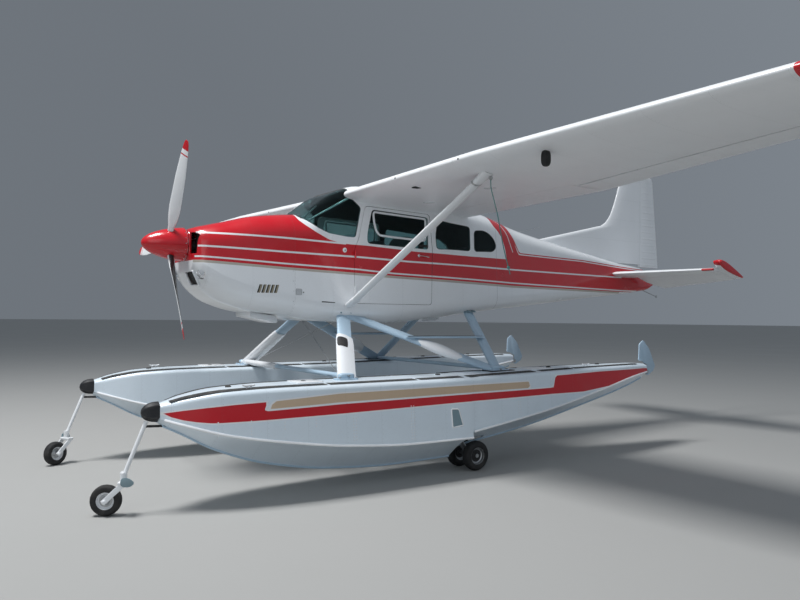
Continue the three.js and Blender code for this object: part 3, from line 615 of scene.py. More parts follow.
def make_rivets() -> bpy.types.NodeTree:
    """Round heads in rows: a head sits wherever both numbers of Place are near a whole step.

    The mask is one inside a head's radius, measured with the distance to the nearest step along
    and across the rows.
    """
    graph, given, out = effect(
        "rivets",
        {
            "Place": ("Vector", None), "Row": ("Float", 0.4), "Pitch": ("Float", 0.035),
            "Radius": ("Float", 0.003),
        },
        {"Mask": "Float", "Lap": "Float"},
    )

    def off_step(axis: int, step: Socket) -> Socket:
        """The distance to the nearest whole step."""
        steps = graph.math("DIVIDE", graph.part(given.outputs["Place"], axis), step)
        share = graph.math("SUBTRACT", graph.math("FRACT", graph.math("ADD", steps, 0.5)), 0.5)
        return graph.math("MULTIPLY", share, step)

    row, pitch = off_step(0, given.outputs["Row"]), off_step(1, given.outputs["Pitch"])
    reach = graph.math(
        "SQRT", graph.math("ADD", graph.math("POWER", row, 2.0), graph.math("POWER", pitch, 2.0)),
    )
    edge = graph.math("MULTIPLY", given.outputs["Radius"], 0.6)
    share = graph.math("DIVIDE", graph.math("SUBTRACT", given.outputs["Radius"], reach), edge)
    lap = graph.math(
        "SUBTRACT", 1.0,
        graph.math("MULTIPLY", graph.math("ABSOLUTE", graph.math("ADD", row, 0.012)), 700.0),
    )
    graph.tree.links.new(graph.math("MAXIMUM", graph.math("MINIMUM", share, 1.0), 0.0), out.inputs["Mask"])
    graph.tree.links.new(graph.math("MAXIMUM", lap, 0.0), out.inputs["Lap"])
    return graph.tree


WEAR = make_wear()
RIVETS = make_rivets()


@dataclass(frozen=True)
class Layer:
    """One colour of a paint scheme over the one below it."""

    colour: Colour
    mask: Callable[[Graph], Socket]


@dataclass(frozen=True)
class Finish:
    """A painted, bare or rubber surface, worn the same way everywhere."""

    name: str
    base: Colour
    roughness: float = 0.25
    metallic: float = 0.0
    coat: float = 0.0
    grime: float = 0.05
    scale: float = 3.0
    bump: float = 0.0006
    layers: tuple[Layer, ...] = ()
    rivets: tuple[float, float, float] | None = None
    sheen: float = 0.0
    coat_roughness: float = 0.06

    def make(self) -> bpy.types.Material:
        """The material: layers over the base colour, then wear, then rivet heads."""
        material = bpy.data.materials.new(self.name)
        material.use_nodes = True
        graph = Graph(material.node_tree)
        where = graph.place()
        colour: object = self.base
        for layer in self.layers:
            colour = graph.mix(layer.mask(graph), colour, layer.colour)
        if isinstance(colour, tuple):
            colour = (*colour, 1)
        worn = graph.group(
            WEAR, {"Color": colour, "Place": where, "Grime": self.grime, "Scale": self.scale},
        )
        shown, height = worn.outputs["Color"], worn.outputs["Height"]
        if self.rivets:
            row, pitch, radius = self.rivets
            plating = graph.add(
                "Attribute", attribute_name="plating", attribute_type="GEOMETRY",
            ).outputs["Vector"]
            heads = graph.group(RIVETS, {"Place": plating, "Row": row, "Pitch": pitch, "Radius": radius})
            shown = graph.mix(graph.math("MULTIPLY", heads.outputs["Mask"], 0.35), shown, SEAM)
            shown = graph.mix(graph.math("MULTIPLY", heads.outputs["Lap"], 0.25), shown, SEAM)
            height = graph.math("ADD", height, graph.math("MULTIPLY", heads.outputs["Mask"], 1.5))
        gloss = graph.math("MULTIPLY", worn.outputs["Gloss"], self.roughness)
        bump = graph.add("Bump", {"Height": height, "Strength": 0.5, "Distance": self.bump})
        values = {
            "Base Color": shown, "Roughness": gloss, "Metallic": self.metallic,
            "Coat Weight": self.coat, "Coat Roughness": self.coat_roughness, "Normal": bump.outputs[0],
            "Sheen Weight": self.sheen,
        }
        shader = graph.add("BsdfPrincipled", values)
        graph.add("OutputMaterial", {"Surface": shader.outputs[0]})
        return material


@dataclass(frozen=True)
class Glazing:
    """Clear sheet, tinted, with a faint haze."""

    name: str
    tint: Colour
    roughness: float = 0.03

    def make(self) -> bpy.types.Material:
        """The material: a transmitting shader whose gloss varies with fine haze."""
        material = bpy.data.materials.new(self.name)
        material.use_nodes = True
        graph = Graph(material.node_tree)
        haze = graph.noise(graph.place(), 9.0, 6.0)
        tone = graph.mix(graph.ramp(haze, 0.4, 0.9), self.tint, tuple(0.9 * part for part in self.tint))
        shader = graph.add("BsdfPrincipled", {
            "Base Color": tone,
            "Roughness": graph.ramp(haze, 0.3, 0.9, self.roughness, self.roughness + 0.04),
            "Transmission Weight": 1.0, "IOR": 1.18, "Specular IOR Level": 0.5,
        })
        graph.add("OutputMaterial", {"Surface": shader.outputs[0]})
        return material


EDGE = 0.0015


def inside(name: str, axis: int) -> Callable[[Graph], Socket]:
    """A mask that is one where a stored distance is over zero."""
    return lambda graph: graph.ramp(graph.stored(name, axis), -EDGE, EDGE)


def stripe(
    name: str, axis: int, width: float, low: float = -9.0, high: float = 9.0,
) -> Callable[[Graph], Socket]:
    """A mask for a line where a stored distance is under half the width, between two stations."""

    def mask(graph: Graph) -> Socket:
        """The line's mask in one material."""
        off = graph.math("ABSOLUTE", graph.stored(name, axis))
        line = graph.ramp(off, width / 2 + EDGE, width / 2 - EDGE)
        station = graph.math("ADD", graph.part(graph.place(), 0), STATION_ZERO)
        span = graph.math(
            "MULTIPLY", graph.ramp(station, low - EDGE, low + EDGE),
            graph.ramp(station, high + EDGE, high - EDGE),
        )
        return graph.math("MULTIPLY", line, span)

    return mask


def beyond(axis: int, limit: float) -> Callable[[Graph], Socket]:
    """A mask that is one past a distance from the centre plane along an axis."""
    return lambda graph: graph.ramp(
        graph.math("ABSOLUTE", graph.part(graph.place(), axis)), limit - EDGE, limit + EDGE,
    )


def seam(station: float) -> Layer:
    """A fine dark joint across the skin at a station."""

    def mask(graph: Graph) -> Socket:
        """The joint's mask in one material."""
        off = graph.math("SUBTRACT", graph.part(graph.place(), 0), station - STATION_ZERO)
        return graph.ramp(graph.math("ABSOLUTE", off), 0.003, 0.001, 0.0, 0.6)

    return Layer(SEAM, mask)


# Body

BODY_TABLE = np.array([
    # station, half width low, half width high, top, bottom, upper radius, lower radius
    (-0.950, 0.300, 0.290, 2.388, 1.955, 0.170, 0.130),
    (-0.905, 0.372, 0.352, 2.404, 1.862, 0.200, 0.190),
    (-0.800, 0.412, 0.390, 2.432, 1.755, 0.215, 0.230),
    (-0.660, 0.442, 0.418, 2.468, 1.676, 0.225, 0.235),
    (-0.360, 0.482, 0.458, 2.545, 1.596, 0.235, 0.225),
    (0.000, 0.515, 0.492, 2.590, 1.556, 0.245, 0.200),
    (0.130, 0.528, 0.500, 2.600, 1.524, 0.250, 0.190),
    (0.330, 0.545, 0.505, 2.735, 1.503, 0.270, 0.180),
    (0.560, 0.560, 0.520, 2.888, 1.497, 0.250, 0.170),
    (0.760, 0.565, 0.532, 2.946, 1.494, 0.200, 0.165),
    (1.100, 0.572, 0.540, 2.960, 1.492, 0.180, 0.165),
    (1.650, 0.572, 0.540, 2.922, 1.527, 0.180, 0.165),
    (2.200, 0.552, 0.515, 2.850, 1.592, 0.200, 0.165),
    (2.700, 0.498, 0.460, 2.772, 1.646, 0.230, 0.160),
    (3.060, 0.445, 0.400, 2.694, 1.678, 0.240, 0.155),
    (3.730, 0.350, 0.305, 2.584, 1.744, 0.200, 0.140),
    (4.700, 0.226, 0.190, 2.444, 1.842, 0.130, 0.110),
    (5.400, 0.140, 0.112, 2.352, 1.908, 0.090, 0.080),
    (5.900, 0.084, 0.066, 2.300, 1.968, 0.055, 0.055),
    (6.010, 0.074, 0.056, 2.250, 1.984, 0.050, 0.050),
    (6.200, 0.030, 0.026, 2.130, 2.055, 0.024, 0.024),
])


@dataclass(frozen=True)
class BodyLines:
    """The body's outer form, from the nose bowl to the tail's end."""

    table: np.ndarray

    def at(self, stations: np.ndarray) -> np.ndarray:
        """The table's other columns at any stations."""
        return smooth_table(np.asarray(stations, float), self.table[:, 0], self.table[:, 1:])

    def rings(self, stations: np.ndarray, inset: float | np.ndarray = 0.0) -> Points:
        """The skin's rings, moved in by a distance.

        Half a ring is a flat bottom, a quarter circle, a straight side, a quarter circle and a
        flat top, and the other half is its mirror image.
        """
        low, high, top, bottom, top_r, bottom_r = self.at(stations).T[..., None]
        inset = np.broadcast_to(inset, np.shape(stations))[:, None]
        low, high, top, bottom = low - inset, high - inset, top - inset, bottom + inset
        top_r, bottom_r = np.maximum(top_r - inset, 0.004), np.maximum(bottom_r - inset, 0.004)
        arc = np.linspace(0, math.pi / 2, 9)[None, :]
        straight = np.linspace(0, 1, 28)[None, 1:-1]
        level = np.linspace(0, 1, 7)[None, :-1]
        side_low, side_high = bottom + bottom_r, top - top_r
        y = np.hstack([
            level * (low - bottom_r), low - bottom_r + bottom_r * np.sin(arc),
            low + (high - low) * straight, high - top_r + top_r * np.cos(arc),
            (high - top_r) * (1 - level[:, 1:]), np.zeros_like(low),
        ])
        z = np.hstack([
            bottom + 0 * level, side_low - bottom_r * np.cos(arc),
            side_low + (side_high - side_low) * straight, side_high + top_r * np.sin(arc),
            top + 0 * level[:, 1:], top,
        ])
        x = np.broadcast_to(np.asarray(stations, float)[:, None], y.shape)
        right = np.stack([x, y, z], -1)
        left = right[:, -2:0:-1] * (1, -1, 1)
        return np.concatenate([right, left], axis=1)

    def half_width(self, stations: np.ndarray, heights: np.ndarray) -> np.ndarray:
        """How far the skin stands from the centre plane at a station and a height."""
        low, high, top, bottom, top_r, bottom_r = self.at(np.ravel(stations)).T
        z = np.ravel(heights)
        share = (z - bottom - bottom_r) / (top - top_r - bottom - bottom_r)
        width = low + (high - low) * share.clip(0, 1)
        over = (z - top + top_r).clip(0, top_r)
        under = (bottom + bottom_r - z).clip(0, bottom_r)
        width = width - top_r + np.sqrt(top_r**2 - over**2)
        return (width - bottom_r + np.sqrt(bottom_r**2 - under**2)).reshape(np.shape(stations))

    def depth(self, spots: Points) -> np.ndarray:
        """How far spots, in stations, lie under the skin."""
        _, _, top, bottom, _, _ = self.at(spots[:, 0]).T
        beside = self.half_width(spots[:, 0], spots[:, 2]) - np.abs(spots[:, 1])
        return np.minimum(beside, np.minimum(top - spots[:, 2], spots[:, 2] - bottom))

    def side_sheet(
        self, x: tuple[float, float], z: tuple[float, float], inset: float, side: float,
    ) -> Shape:
        """A fine open skin over a part of one side, a distance under the outer skin."""
        stations, heights = np.meshgrid(np.linspace(*x, 48), np.linspace(*z, 40), indexing="ij")
        y = self.half_width(stations, heights) - inset
        return sheet(np.stack([stations, side * y, heights], -1))


LINES = BodyLines(BODY_TABLE)
UPPER_LINE = np.array([
    (-0.95, 2.342), (-0.12, 2.327), (0.31, 2.313), (0.62, 2.303), (0.80, 2.298), (1.19, 2.281),
    (1.42, 2.269), (2.22, 2.259), (2.85, 2.262),
])
MIDDLE_LINE = np.array(
    [(-0.95, 2.212), (-0.12, 2.188), (0.71, 2.173), (1.32, 2.155), (2.95, 2.140), (5.24, 2.141)]
)
LOWER_LINE = np.array([
    (-0.95, 2.112), (-0.12, 2.071), (0.71, 2.043), (1.13, 2.018), (2.93, 1.976), (5.22, 1.953),
    (6.2, 1.955),
])
KEEL_LINE = np.array([
    (-0.95, 2.066), (-0.12, 2.024), (0.71, 1.993), (1.13, 1.979), (2.93, 1.932), (5.15, 1.922),
    (6.2, 1.93),
])
BAND_LINE = np.array(
    [(2.60, 2.80), (2.78, 2.70), (2.867, 2.579), (2.913, 2.482), (2.977, 2.355), (3.00, 2.30)]
)
RED_EDGE = np.array([
    (6.4, 2.283), (5.821, 2.283), (5.263, 2.305), (4.423, 2.345), (3.106, 2.356), (2.99, 2.54),
    (2.93, 2.63), (2.87, 2.84), (2.58, 2.84), (2.62, 2.66), (2.70, 2.59), (2.775, 2.51), (2.826, 2.39),
    (2.85, 2.262), (2.22, 2.259), (1.42, 2.269), (1.19, 2.281), (0.80, 2.298), (0.60, 2.301),
    (0.50, 2.308), (0.373, 2.337), (0.221, 2.41), (0.12, 2.475), (0.060, 2.53), (0.052, 2.84),
    (-1.2, 2.84),
])


def paint_places(item: bpy.types.Object) -> None:
    """Keeps each point's distance from the lines of the body's paint scheme.

    A line's distance is the height above it. The red's distance is measured inside the outline
    made of the keel line and the red's upper edge, seen from the side.
    """
    spots = corners_of(item) + (STATION_ZERO, 0, 0)
    x, z = spots[:, 0], spots[:, 2]

    def above(line: Points) -> np.ndarray:
        """The height of each point above a line."""
        return z - np.interp(x, line[:, 0], line[:, 1])

    red = np.vstack([KEEL_LINE + (0, 0.012), [(6.4, 1.93)], RED_EDGE, [(-1.2, 2.07)]])
    across = x - np.interp(-z, -BAND_LINE[:, 1], BAND_LINE[:, 0])
    mark(item, "stripes", np.stack([above(UPPER_LINE), above(MIDDLE_LINE), above(LOWER_LINE)], 1))
    mark(item, "edges", np.stack([signed_inside(spots[:, [0, 2]], red), above(KEEL_LINE), across], 1))
    low = LINES.at(x)[:, 3]
    girth = np.where(
        (np.abs(spots[:, 1]) < 0.8 * LINES.half_width(x, z)) | (z < low + 0.02), spots[:, 1], z,
    )
    mark(item, "plating", np.stack([x, girth, 0 * x], 1))


def band_limits(graph: Graph) -> Socket:
    """A mask for the white line that stands in the raked band behind the windows."""
    return graph.math(
        "MULTIPLY", stripe("edges", 2, 0.013, 2.6, 3.0)(graph),
        graph.ramp(graph.part(graph.place(), 2), 2.352, 2.358),
    )


def border_line(graph: Graph) -> Socket:
    """A mask for the white line that follows the red's upper edge along the tail."""
    off = graph.math("ABSOLUTE", graph.math("SUBTRACT", graph.stored("edges", 0), 0.020))
    station = graph.part(graph.place(), 0)
    height = graph.ramp(graph.part(graph.place(), 2), 2.24, 2.25)
    return graph.math(
        "MULTIPLY", graph.ramp(off, 0.0075, 0.005),
        graph.math("MULTIPLY", graph.ramp(station, 0.86, 0.90), height),
    )


BODY_LAYERS = (
    Layer(RED, inside("edges", 0)),
    Layer(WHITE, stripe("stripes", 0, 0.018, -0.93, 0.56)),
    Layer(WHITE, stripe("stripes", 1, 0.018, -0.93, 5.35)),
    Layer(WHITE, stripe("stripes", 2, 0.016, -0.95, 5.75)),
    Layer(WHITE, band_limits),
    Layer(WHITE, border_line),
    Layer(BEIGE, stripe("edges", 1, 0.024, -0.96, 5.30)),
)


GLOSS = {"roughness": 0.22, "coat": 0.35, "grime": 0.05}
SATIN = {"roughness": 0.36, "coat": 0.3, "coat_roughness": 0.28, "grime": 0.05}
TAIL_RED = (Layer(RED, beyond(1, 1.622)), Layer(RED, inside("lead", 0)))
SWOOSH = (
    Layer(RED, inside("swoosh", 0)), Layer(GOLD, inside("swoosh", 1)),
    Layer(WHITE, stripe("swoosh", 0, 0.012)), Layer(WHITE, stripe("swoosh", 1, 0.012)),
)
BLADE_BANDS = (
    Layer((0.02, 0.02, 0.021), inside("tips", 0)), Layer(RED, inside("tips", 1)),
    Layer(RED, inside("tips", 2)),
)
FINISHES: dict[str, Finish | Glazing] = {
    "body": Finish(
        "body_enamel", WHITE, **GLOSS, layers=(*BODY_LAYERS, seam(2.66)), rivets=(0.42, 0.034, 0.0028),
    ),
    "tail": Finish("fin_enamel", WHITE, **GLOSS, rivets=(0.30, 0.034, 0.0026)),
    "white": Finish("white_enamel", WHITE, **GLOSS),
    "red": Finish("red_enamel", RED, **GLOSS),
    "wing": Finish(
        "wing_enamel", WHITE, **SATIN, layers=(Layer(RED, beyond(1, 5.075)),), rivets=(0.46, 0.038, 0.0028),
    ),
    "tailplane": Finish("tailplane_enamel", WHITE, **SATIN, layers=TAIL_RED, rivets=(0.30, 0.034, 0.0026)),
    "floats": Finish(
        "float_enamel", FLOAT_GREY, roughness=0.34, metallic=0.15, grime=0.07, coat=0.2, layers=SWOOSH,
        rivets=(0.36, 0.042, 0.0034),
    ),
    "strut": Finish("strut_enamel", (0.42, 0.56, 0.68), roughness=0.36, metallic=0.1, grime=0.08),
    "blade": Finish("blade_enamel", WHITE, roughness=0.3, grime=0.08, layers=BLADE_BANDS),
    "black": Finish("matt_black", (0.015, 0.015, 0.016), roughness=0.7, grime=0.2),
    "steel": Finish("worn_steel", (0.42, 0.43, 0.44), roughness=0.35, metallic=0.9, grime=0.2),
    "chrome": Finish("bright_plate", (0.75, 0.76, 0.78), roughness=0.12, metallic=1.0, grime=0.04),
    # Slate paint for brackets and plates; on the float's recess panel the slate is painted shade.
    "slate": Finish("slate_paint_and_recess_shade", (0.20, 0.29, 0.33), roughness=0.5, grime=0.2),
    "casting": Finish(
        "engine_casting", (0.16, 0.165, 0.17), roughness=0.6, metallic=0.5, grime=0.35, bump=0.002,
    ),
    "tan": Finish("louvre_metal", (0.30, 0.27, 0.20), roughness=0.4, metallic=0.4, grime=0.2),
    "trim": Finish("cabin_plastic", (0.035, 0.038, 0.042), roughness=0.6, grime=0.1),
    "lining": Finish("cabin_lining", (0.10, 0.105, 0.11), roughness=0.85, grime=0.15),
    "cloth": Finish(
        "seat_cloth", (0.11, 0.12, 0.13), roughness=0.9, grime=0.15, scale=6.0, sheen=0.35, bump=0.0015,
    ),
    "tyre": Finish(
        "tyre_rubber", (0.011, 0.011, 0.012), roughness=0.75, grime=0.14, scale=12.0, bump=0.0015,
    ),
    "bumper": Finish(
        "bumper_rubber", (0.010, 0.011, 0.014), roughness=0.5, grime=0.10, scale=9.0, bump=0.002,
    ),
    "tread": Finish("deck_grit", (0.03, 0.032, 0.034), roughness=0.95, grime=0.35, scale=15.0, bump=0.004),
    "rope": Finish(
        "rope_fibre", (0.05, 0.22, 0.21), roughness=0.85, grime=0.3, scale=60.0, sheen=0.3, bump=0.003,
    ),
    "glass": Glazing("tinted_glazing", (0.46, 0.66, 0.66)),
    "lamp": Glazing("lamp_glass", (0.9, 0.92, 0.95), 0.05),
}


class Palette:
    """Every material of the aircraft, made once and kept under its name in FINISHES."""

    def __init__(self) -> None:
        """Makes each material from its finish."""
        self.made = {name: finish.make() for name, finish in FINISHES.items()}

    def __getattr__(self, name: str) -> bpy.types.Material:
        """The material of that name."""
        return self.made[name]


def round_bar_path(*points: Sequence[float], steps: int = 24) -> Points:
    """A smooth path through points, cubic and never overshooting, evenly spread along them."""
    knots = np.asarray(points, float)
    reach = np.concatenate([[0], np.cumsum(np.linalg.norm(np.diff(knots, axis=0), axis=1))])
    return smooth_table(np.linspace(0, reach[-1], steps), reach, knots)


def panel_ring(outline: Points, width: float, side: float, inset: float = 0.0) -> Shape:
    """A thin raised bead that follows a closed outline on one side of the body."""
    x, z = outline[:, 0], outline[:, 1]
    y = side * (LINES.half_width(x, z) - inset)
    path = np.stack([x, y, z], 1)
    return bead(path, width)


DOOR_OUTLINE = rounded([
    (0.655, 1.69), (1.632, 1.69), (1.650, 2.30), (1.612, 2.692), (0.785, 2.714), (0.705, 2.352),
    (0.655, 2.25),
], 0.04)
DOOR_WINDOW = rounded(
    [(0.806, 2.318), (1.600, 2.296), (1.600, 2.662), (0.864, 2.690), (0.804, 2.42)], 0.042,
)
QUARTER_WINDOW = rounded(
    [(1.712, 2.316), (2.216, 2.322), (2.213, 2.600), (1.728, 2.640), (1.700, 2.463)], 0.04,
)
REAR_WINDOW = rounded(
    [
        (2.282, 2.320), (2.600, 2.336), (2.664, 2.395), (2.624, 2.488), (2.530, 2.552), (2.430, 2.578),
        (2.282, 2.564),
    ],
    0.045,
)
WINDSHIELD = np.array([
    (0.078, 2.56), (0.128, 2.539), (0.247, 2.452), (0.373, 2.402), (0.566, 2.378), (0.671, 2.376),
    (0.735, 2.690), (0.640, 2.776), (0.640, 3.05), (0.078, 3.05),
])


def grown(outline: Points, distance: float) -> Points:
    """An outline moved outwards from its middle by a distance."""
    middle = outline.mean(axis=0)
    way = outline - middle
    reach = np.linalg.norm(way, axis=1, keepdims=True)
    return middle + way * (reach + distance) / reach


@dataclass
class Fuselage:
    """Cowling, cabin, doors, glass and tail cone."""

    paint: Palette
    skin: float = 0.028
    cowl_wall: float = 0.014
    door_wall: float = 0.040
    door_gap: float = 0.005
    cabin_end: float = 2.780

    def cabin(self) -> None:
        """The hollow cabin with its openings cut and its dark lining."""
        stations = np.linspace(0.0, self.cabin_end, 118)
        item = as_object("cabin", loft(LINES.rings(stations)))
        thicken(item, self.skin)
        for outline in (grown(DOOR_OUTLINE, self.door_gap), QUARTER_WINDOW, REAR_WINDOW):
            carve(item, [through(outline)])
        carve(item, [through(rounded(WINDSHIELD, 0.03))])
        paint_places(item)
        dress(item, self.paint.body, "white_paint", replaces=["cabin_shell"])
        item.data.materials.append(self.paint.lining)
        centres = np.empty(len(item.data.polygons) * 3)
        item.data.polygons.foreach_get("center", centres)
        deep = LINES.depth(centres.reshape(-1, 3) + (STATION_ZERO, 0, 0)) > 0.006
        item.data.polygons.foreach_set("material_index", deep.astype(int))
        frames = [
            panel_ring(outline, 0.004, side, 0.002)
            for side in (PORT, STARBOARD) for outline in (QUARTER_WINDOW, REAR_WINDOW)
        ]
        piece("window_beads", joined(frames), self.paint.black, "cabin_trim")

    def tail(self) -> None:
        """The tail cone, closed to a small rounded end, with the stabiliser's slot left closed."""
        stations = np.concatenate(
            [np.linspace(self.cabin_end + 0.0005, 5.9, 100), np.linspace(5.92, 6.2, 14)]
        )
        rings = LINES.rings(stations)
        last = rings[-1].mean(axis=0)
        end = [
            last + (rings[-1] - last) * scale + (move, 0, 0) for scale, move in ((0.8, 0.008), (0.4, 0.014))
        ]
        item = as_object("tail_cone", loft(np.concatenate([rings, end])))
        paint_places(item)
        dress(item, self.paint.body, "white_paint", replaces=["tailcone"])

    def cowl(self) -> None:
        """The cowling: nose bowl with a rolled lip, inlets, louvre slots and outlet."""
        stations = np.linspace(-0.95, -0.0005, 52)
        rings = LINES.rings(stations)
        lip = [
            LINES.rings(np.array([-0.95]), inset)[0] - (out, 0, 0)
            for inset, out in ((0.05, 0.012), (0.028, 0.0118), (0.010, 0.0075))
        ]
        item = as_object("cowl", loft(np.concatenate([lip, rings])))
        thicken(item, self.cowl_wall)
        inlet = rounded([
            (-1.02, 2.140), (-0.925, 2.140), (-0.895, 2.180), (-0.882, 2.245), (-0.895, 2.310),
            (-0.925, 2.345), (-1.02, 2.345),
        ], 0.02)
        for side in (PORT, STARBOARD):
            carve(item, [on_side(slab(inlet, 0.190, 0.318), side)])
        chin = rounded(rectangle(-0.252, 1.848, -0.036, 1.972), 0.010)
        carve(item, [slab(chin, -1.02, -0.856, axis=0)])
        carve(item, [turned([(0.07, 0), (0.07, 0.14)], (-1.02, 0, SHAFT_Z), (1, 0, 0))])
        carve(item, [block((-0.33, -0.21, 1.5), (-0.06, 0.21, 1.66))])
        carve(item, [slab(outline, -0.7, 0.7) for outline in self.louvres()])
        paint_places(item)
        dress(item, self.paint.body, "white_paint", replaces=["cowling"])
        self.cowl_trim(chin)
        self.cowl_shutters()

    def louvres(self) -> list[Points]:
        """The outlines of the five raked slots in the cowling's side."""
        slot = np.array([(0.0, 0.0), (0.032, 0.0), (0.056, 0.080), (0.024, 0.080)])
        return [rounded(slot + (-0.392 + 0.042 * place, 1.778), 0.004) for place in range(5)]

    def cowl_trim(self, chin: Points) -> None:
        """The chin inlet's frame, and black pieces behind the openings that are painted shade for the dark
        inside of the cowling: the chin duct, plates behind the side inlets and plates behind the louvre
        slots.
        """
        outline = grown(chin, 0.008)
        slant = np.interp(outline[:, 1], [1.755, 1.862, 1.955, 2.0], [-0.800, -0.905, -0.950, -0.952])
        frame_path = np.insert(outline, 0, slant - 0.001, axis=1)
        frame_bead = bead(frame_path, 0.008, 10, up=(1, 0, 0))
        piece("chin_frame", frame_bead, self.paint.white, "white_paint")
        # The duct behind the chin inlet is matt black: painted shade for its dark inside.
        inner = grown(chin, -0.004)
        mouth = np.interp(inner[:, 1], [1.755, 1.862, 1.955, 2.0], [-0.775, -0.880, -0.926, -0.930])
        duct = np.stack([np.insert(inner, 0, mouth, axis=1), np.insert(inner, 0, -0.80, axis=1)])
        inlets = [loft(duct)]
        # Black plates just behind the side inlets: painted shade inside the cowling.
        for side in (PORT, STARBOARD):
            inlets.append(on_side(block((-0.880, 0.12, 2.12), (-0.870, 0.298, 2.335)), side))
        # Black plates just behind the louvre slots: painted shade inside the cowling.
        shade_plates = [block((-0.42, y, 1.76), (-0.10, y + 0.02, 1.88)) for y in (-0.44, 0.42)]
        piece("engine_shade_plates", joined([*inlets, *shade_plates]), self.paint.black, "bare_steel")

    def cowl_shutters(self) -> None:
        """Louvre hoods, fasteners, landing lamps, the cowl flap and the engine block."""
        hoods, studs, lamps, slivers = [], [], [], []
        stud = [(0.004, -0.001), (0.004, 0.0008), (0.002, 0.0014)]
        dome = [(0.040, -0.012), (0.042, 0.003), (0.036, 0.007), (0.016, 0.010)]
        ring = [(0.047, -0.012), (0.047, 0.001), (0.043, 0.0022)]
        for side in (PORT, STARBOARD):
            for outline in self.louvres():
                low, high = outline.min(axis=0), outline.max(axis=0)
                x = np.linspace(low[0] + 0.024, high[0] - 0.008, 8)
                z = np.linspace(low[1], high[1], 8)
                y = side * (LINES.half_width(x, z) - 0.008)
                hoods.append(tube(np.stack([x, y, z], 1), 0.0095, 12, up=(0, 1, 0)))
            x, z = np.full(4, -0.018), np.linspace(1.70, 2.00, 4)
            for spot in np.stack([x, side * LINES.half_width(x, z), z], 1):
                studs.append(turned(stud, spot, (0, side, 0.05), 12))
            away = np.array((-0.74, side * 0.62, -0.26))
            centre = np.array((-0.903, side * 0.339, 1.945))
            lamps.append(turned(dome, centre, away, 28))
            slivers.append(turned(ring, centre + (0.006, 0, -0.004), away, 28))
        piece("louvre_hoods", joined(hoods), self.paint.tan, "white_paint")
        piece("cowl_studs", joined(studs), self.paint.steel, "bare_steel")
        piece("landing_lamps", joined(lamps), self.paint.lamp, "clear_glass")
        piece("lamp_rings", joined(slivers), self.paint.chrome, "bare_steel")
        corners = [(-0.345, 1.600), (-0.060, 1.550), (-0.040, 1.490), (-0.060, 1.480), (-0.340, 1.545)]
        flap_item = as_object("cooling_flap", slab(rounded(corners, 0.006), -0.19, 0.19))
        hollow = [(-0.30, 1.565), (0.0, 1.535), (0.0, 1.502), (-0.30, 1.545)]
        carve(flap_item, [slab(hollow, -0.178, 0.178)])
        ease_edges(flap_item, 0.006)
        dress(flap_item, self.paint.white, "white_paint", replaces=["cowl_flap"])
        fins = np.tile([(0.06, 0.0), (0.07, 0.01), (0.06, 0.02)], (4, 1))
        fins[:, 1] += np.repeat(np.arange(4) * 0.024, 3)
        piece("crankcase", joined([
            pillow((-0.78, -0.33, 2.06), (-0.18, 0.33, 2.34), 9.0),
            rod((-0.9676, 0, SHAFT_Z), (-0.77, 0, SHAFT_Z), 0.045),
            block((-0.20, -0.15, 2.08), (-0.001, 0.15, 2.30)),
            *[
                turned(fins, (x, side * 0.24, 2.18), (0, side, 0), 20)
                for side in (PORT, STARBOARD) for x in (-0.68, -0.50, -0.32)
            ],
        ]), self.paint.casting, "bare_steel", replaces=["engine_block"])

    def doors(self) -> None:
        """Each door with its window frame, glass, handle and hinges."""
        for name, side in SIDES.items():
            item = as_object(f"door_skin_{name}", LINES.side_sheet((0.62, 1.68), (1.66, 2.76), 0.0, side))
            thicken(item, self.door_wall, -1.0 if self.faces_out(item, side) else 1.0)
            carve(item, [through(DOOR_OUTLINE)], Cut.KEEP)
            carve(item, [through(DOOR_WINDOW)])
            paint_places(item)
            dress(item, self.paint.body, "white_paint", Body.DOOR, name, [f"door_{name}"])
            self.pane(
                f"door_pane_{name}", grown(DOOR_WINDOW, -0.001), 0.015, side, Body.DOOR, name,
                [f"door_window_{name}"],
            )
            frame_ring = rounded([
                (0.889, 2.664), (0.895, 2.571), (0.919, 2.472), (0.961, 2.419), (1.152, 2.409),
                (1.562, 2.396), (1.568, 2.640),
            ], 0.03)
            frame = joined([
                panel_ring(DOOR_WINDOW, 0.005, side, 0.003), panel_ring(frame_ring, 0.012, side, 0.012),
            ])
            piece(f"door_window_frame_{name}", frame, self.paint.white, "white_paint", Body.DOOR, name)
            y = side * 0.566
            grip = round_bar_path(
                (1.452, y, 2.226), (1.47, y + side * 0.012, 2.224), (1.53, y + side * 0.014, 2.220),
                (1.588, y + side * 0.008, 2.214),
            )
            boss = turned(
                [(0.016, -0.014), (0.016, 0), (0.010, 0.004)], (1.462, y, 2.226), (0, side, 0), 20,
            )
            handle = joined([swept(grip, circle(1.0, 12) * (0.011, 0.006)), boss])
            piece(f"door_handle_{name}", handle, self.paint.chrome, "bare_steel", Body.DOOR, name)
            latch = on_side(block((1.47, 0.542, 2.322), (1.60, 0.552, 2.352)), side)
            piece(
                f"window_latch_{name}", latch, self.paint.black, "cabin_trim", Body.DOOR, name, ease=0.004,
            )
            for level, low, paint in (("lower", 1.79, self.paint.white), ("upper", 2.15, self.paint.red)):
                spot = np.array((0.65, side * 0.575, low))
                leaves = (spot + (0, 0, 0.0404), spot)
                rods = [rod(leaf, leaf + (0, 0, 0.0396), 0.009) for leaf in leaves]
                piece(f"{level}_hinge_{name}", rods[0], paint, "white_paint", Body.DOOR, name)
                piece(f"{level}_fixed_hinge_{name}", rods[1], paint, "white_paint")

    def faces_out(self, item: bpy.types.Object, side: float) -> bool:
        """Whether an open side skin's faces point away from the centre plane."""
        normals = np.empty(len(item.data.polygons) * 3)
        item.data.polygons.foreach_get("normal", normals)
        return float(normals.reshape(-1, 3)[:, 1].mean()) * side > 0

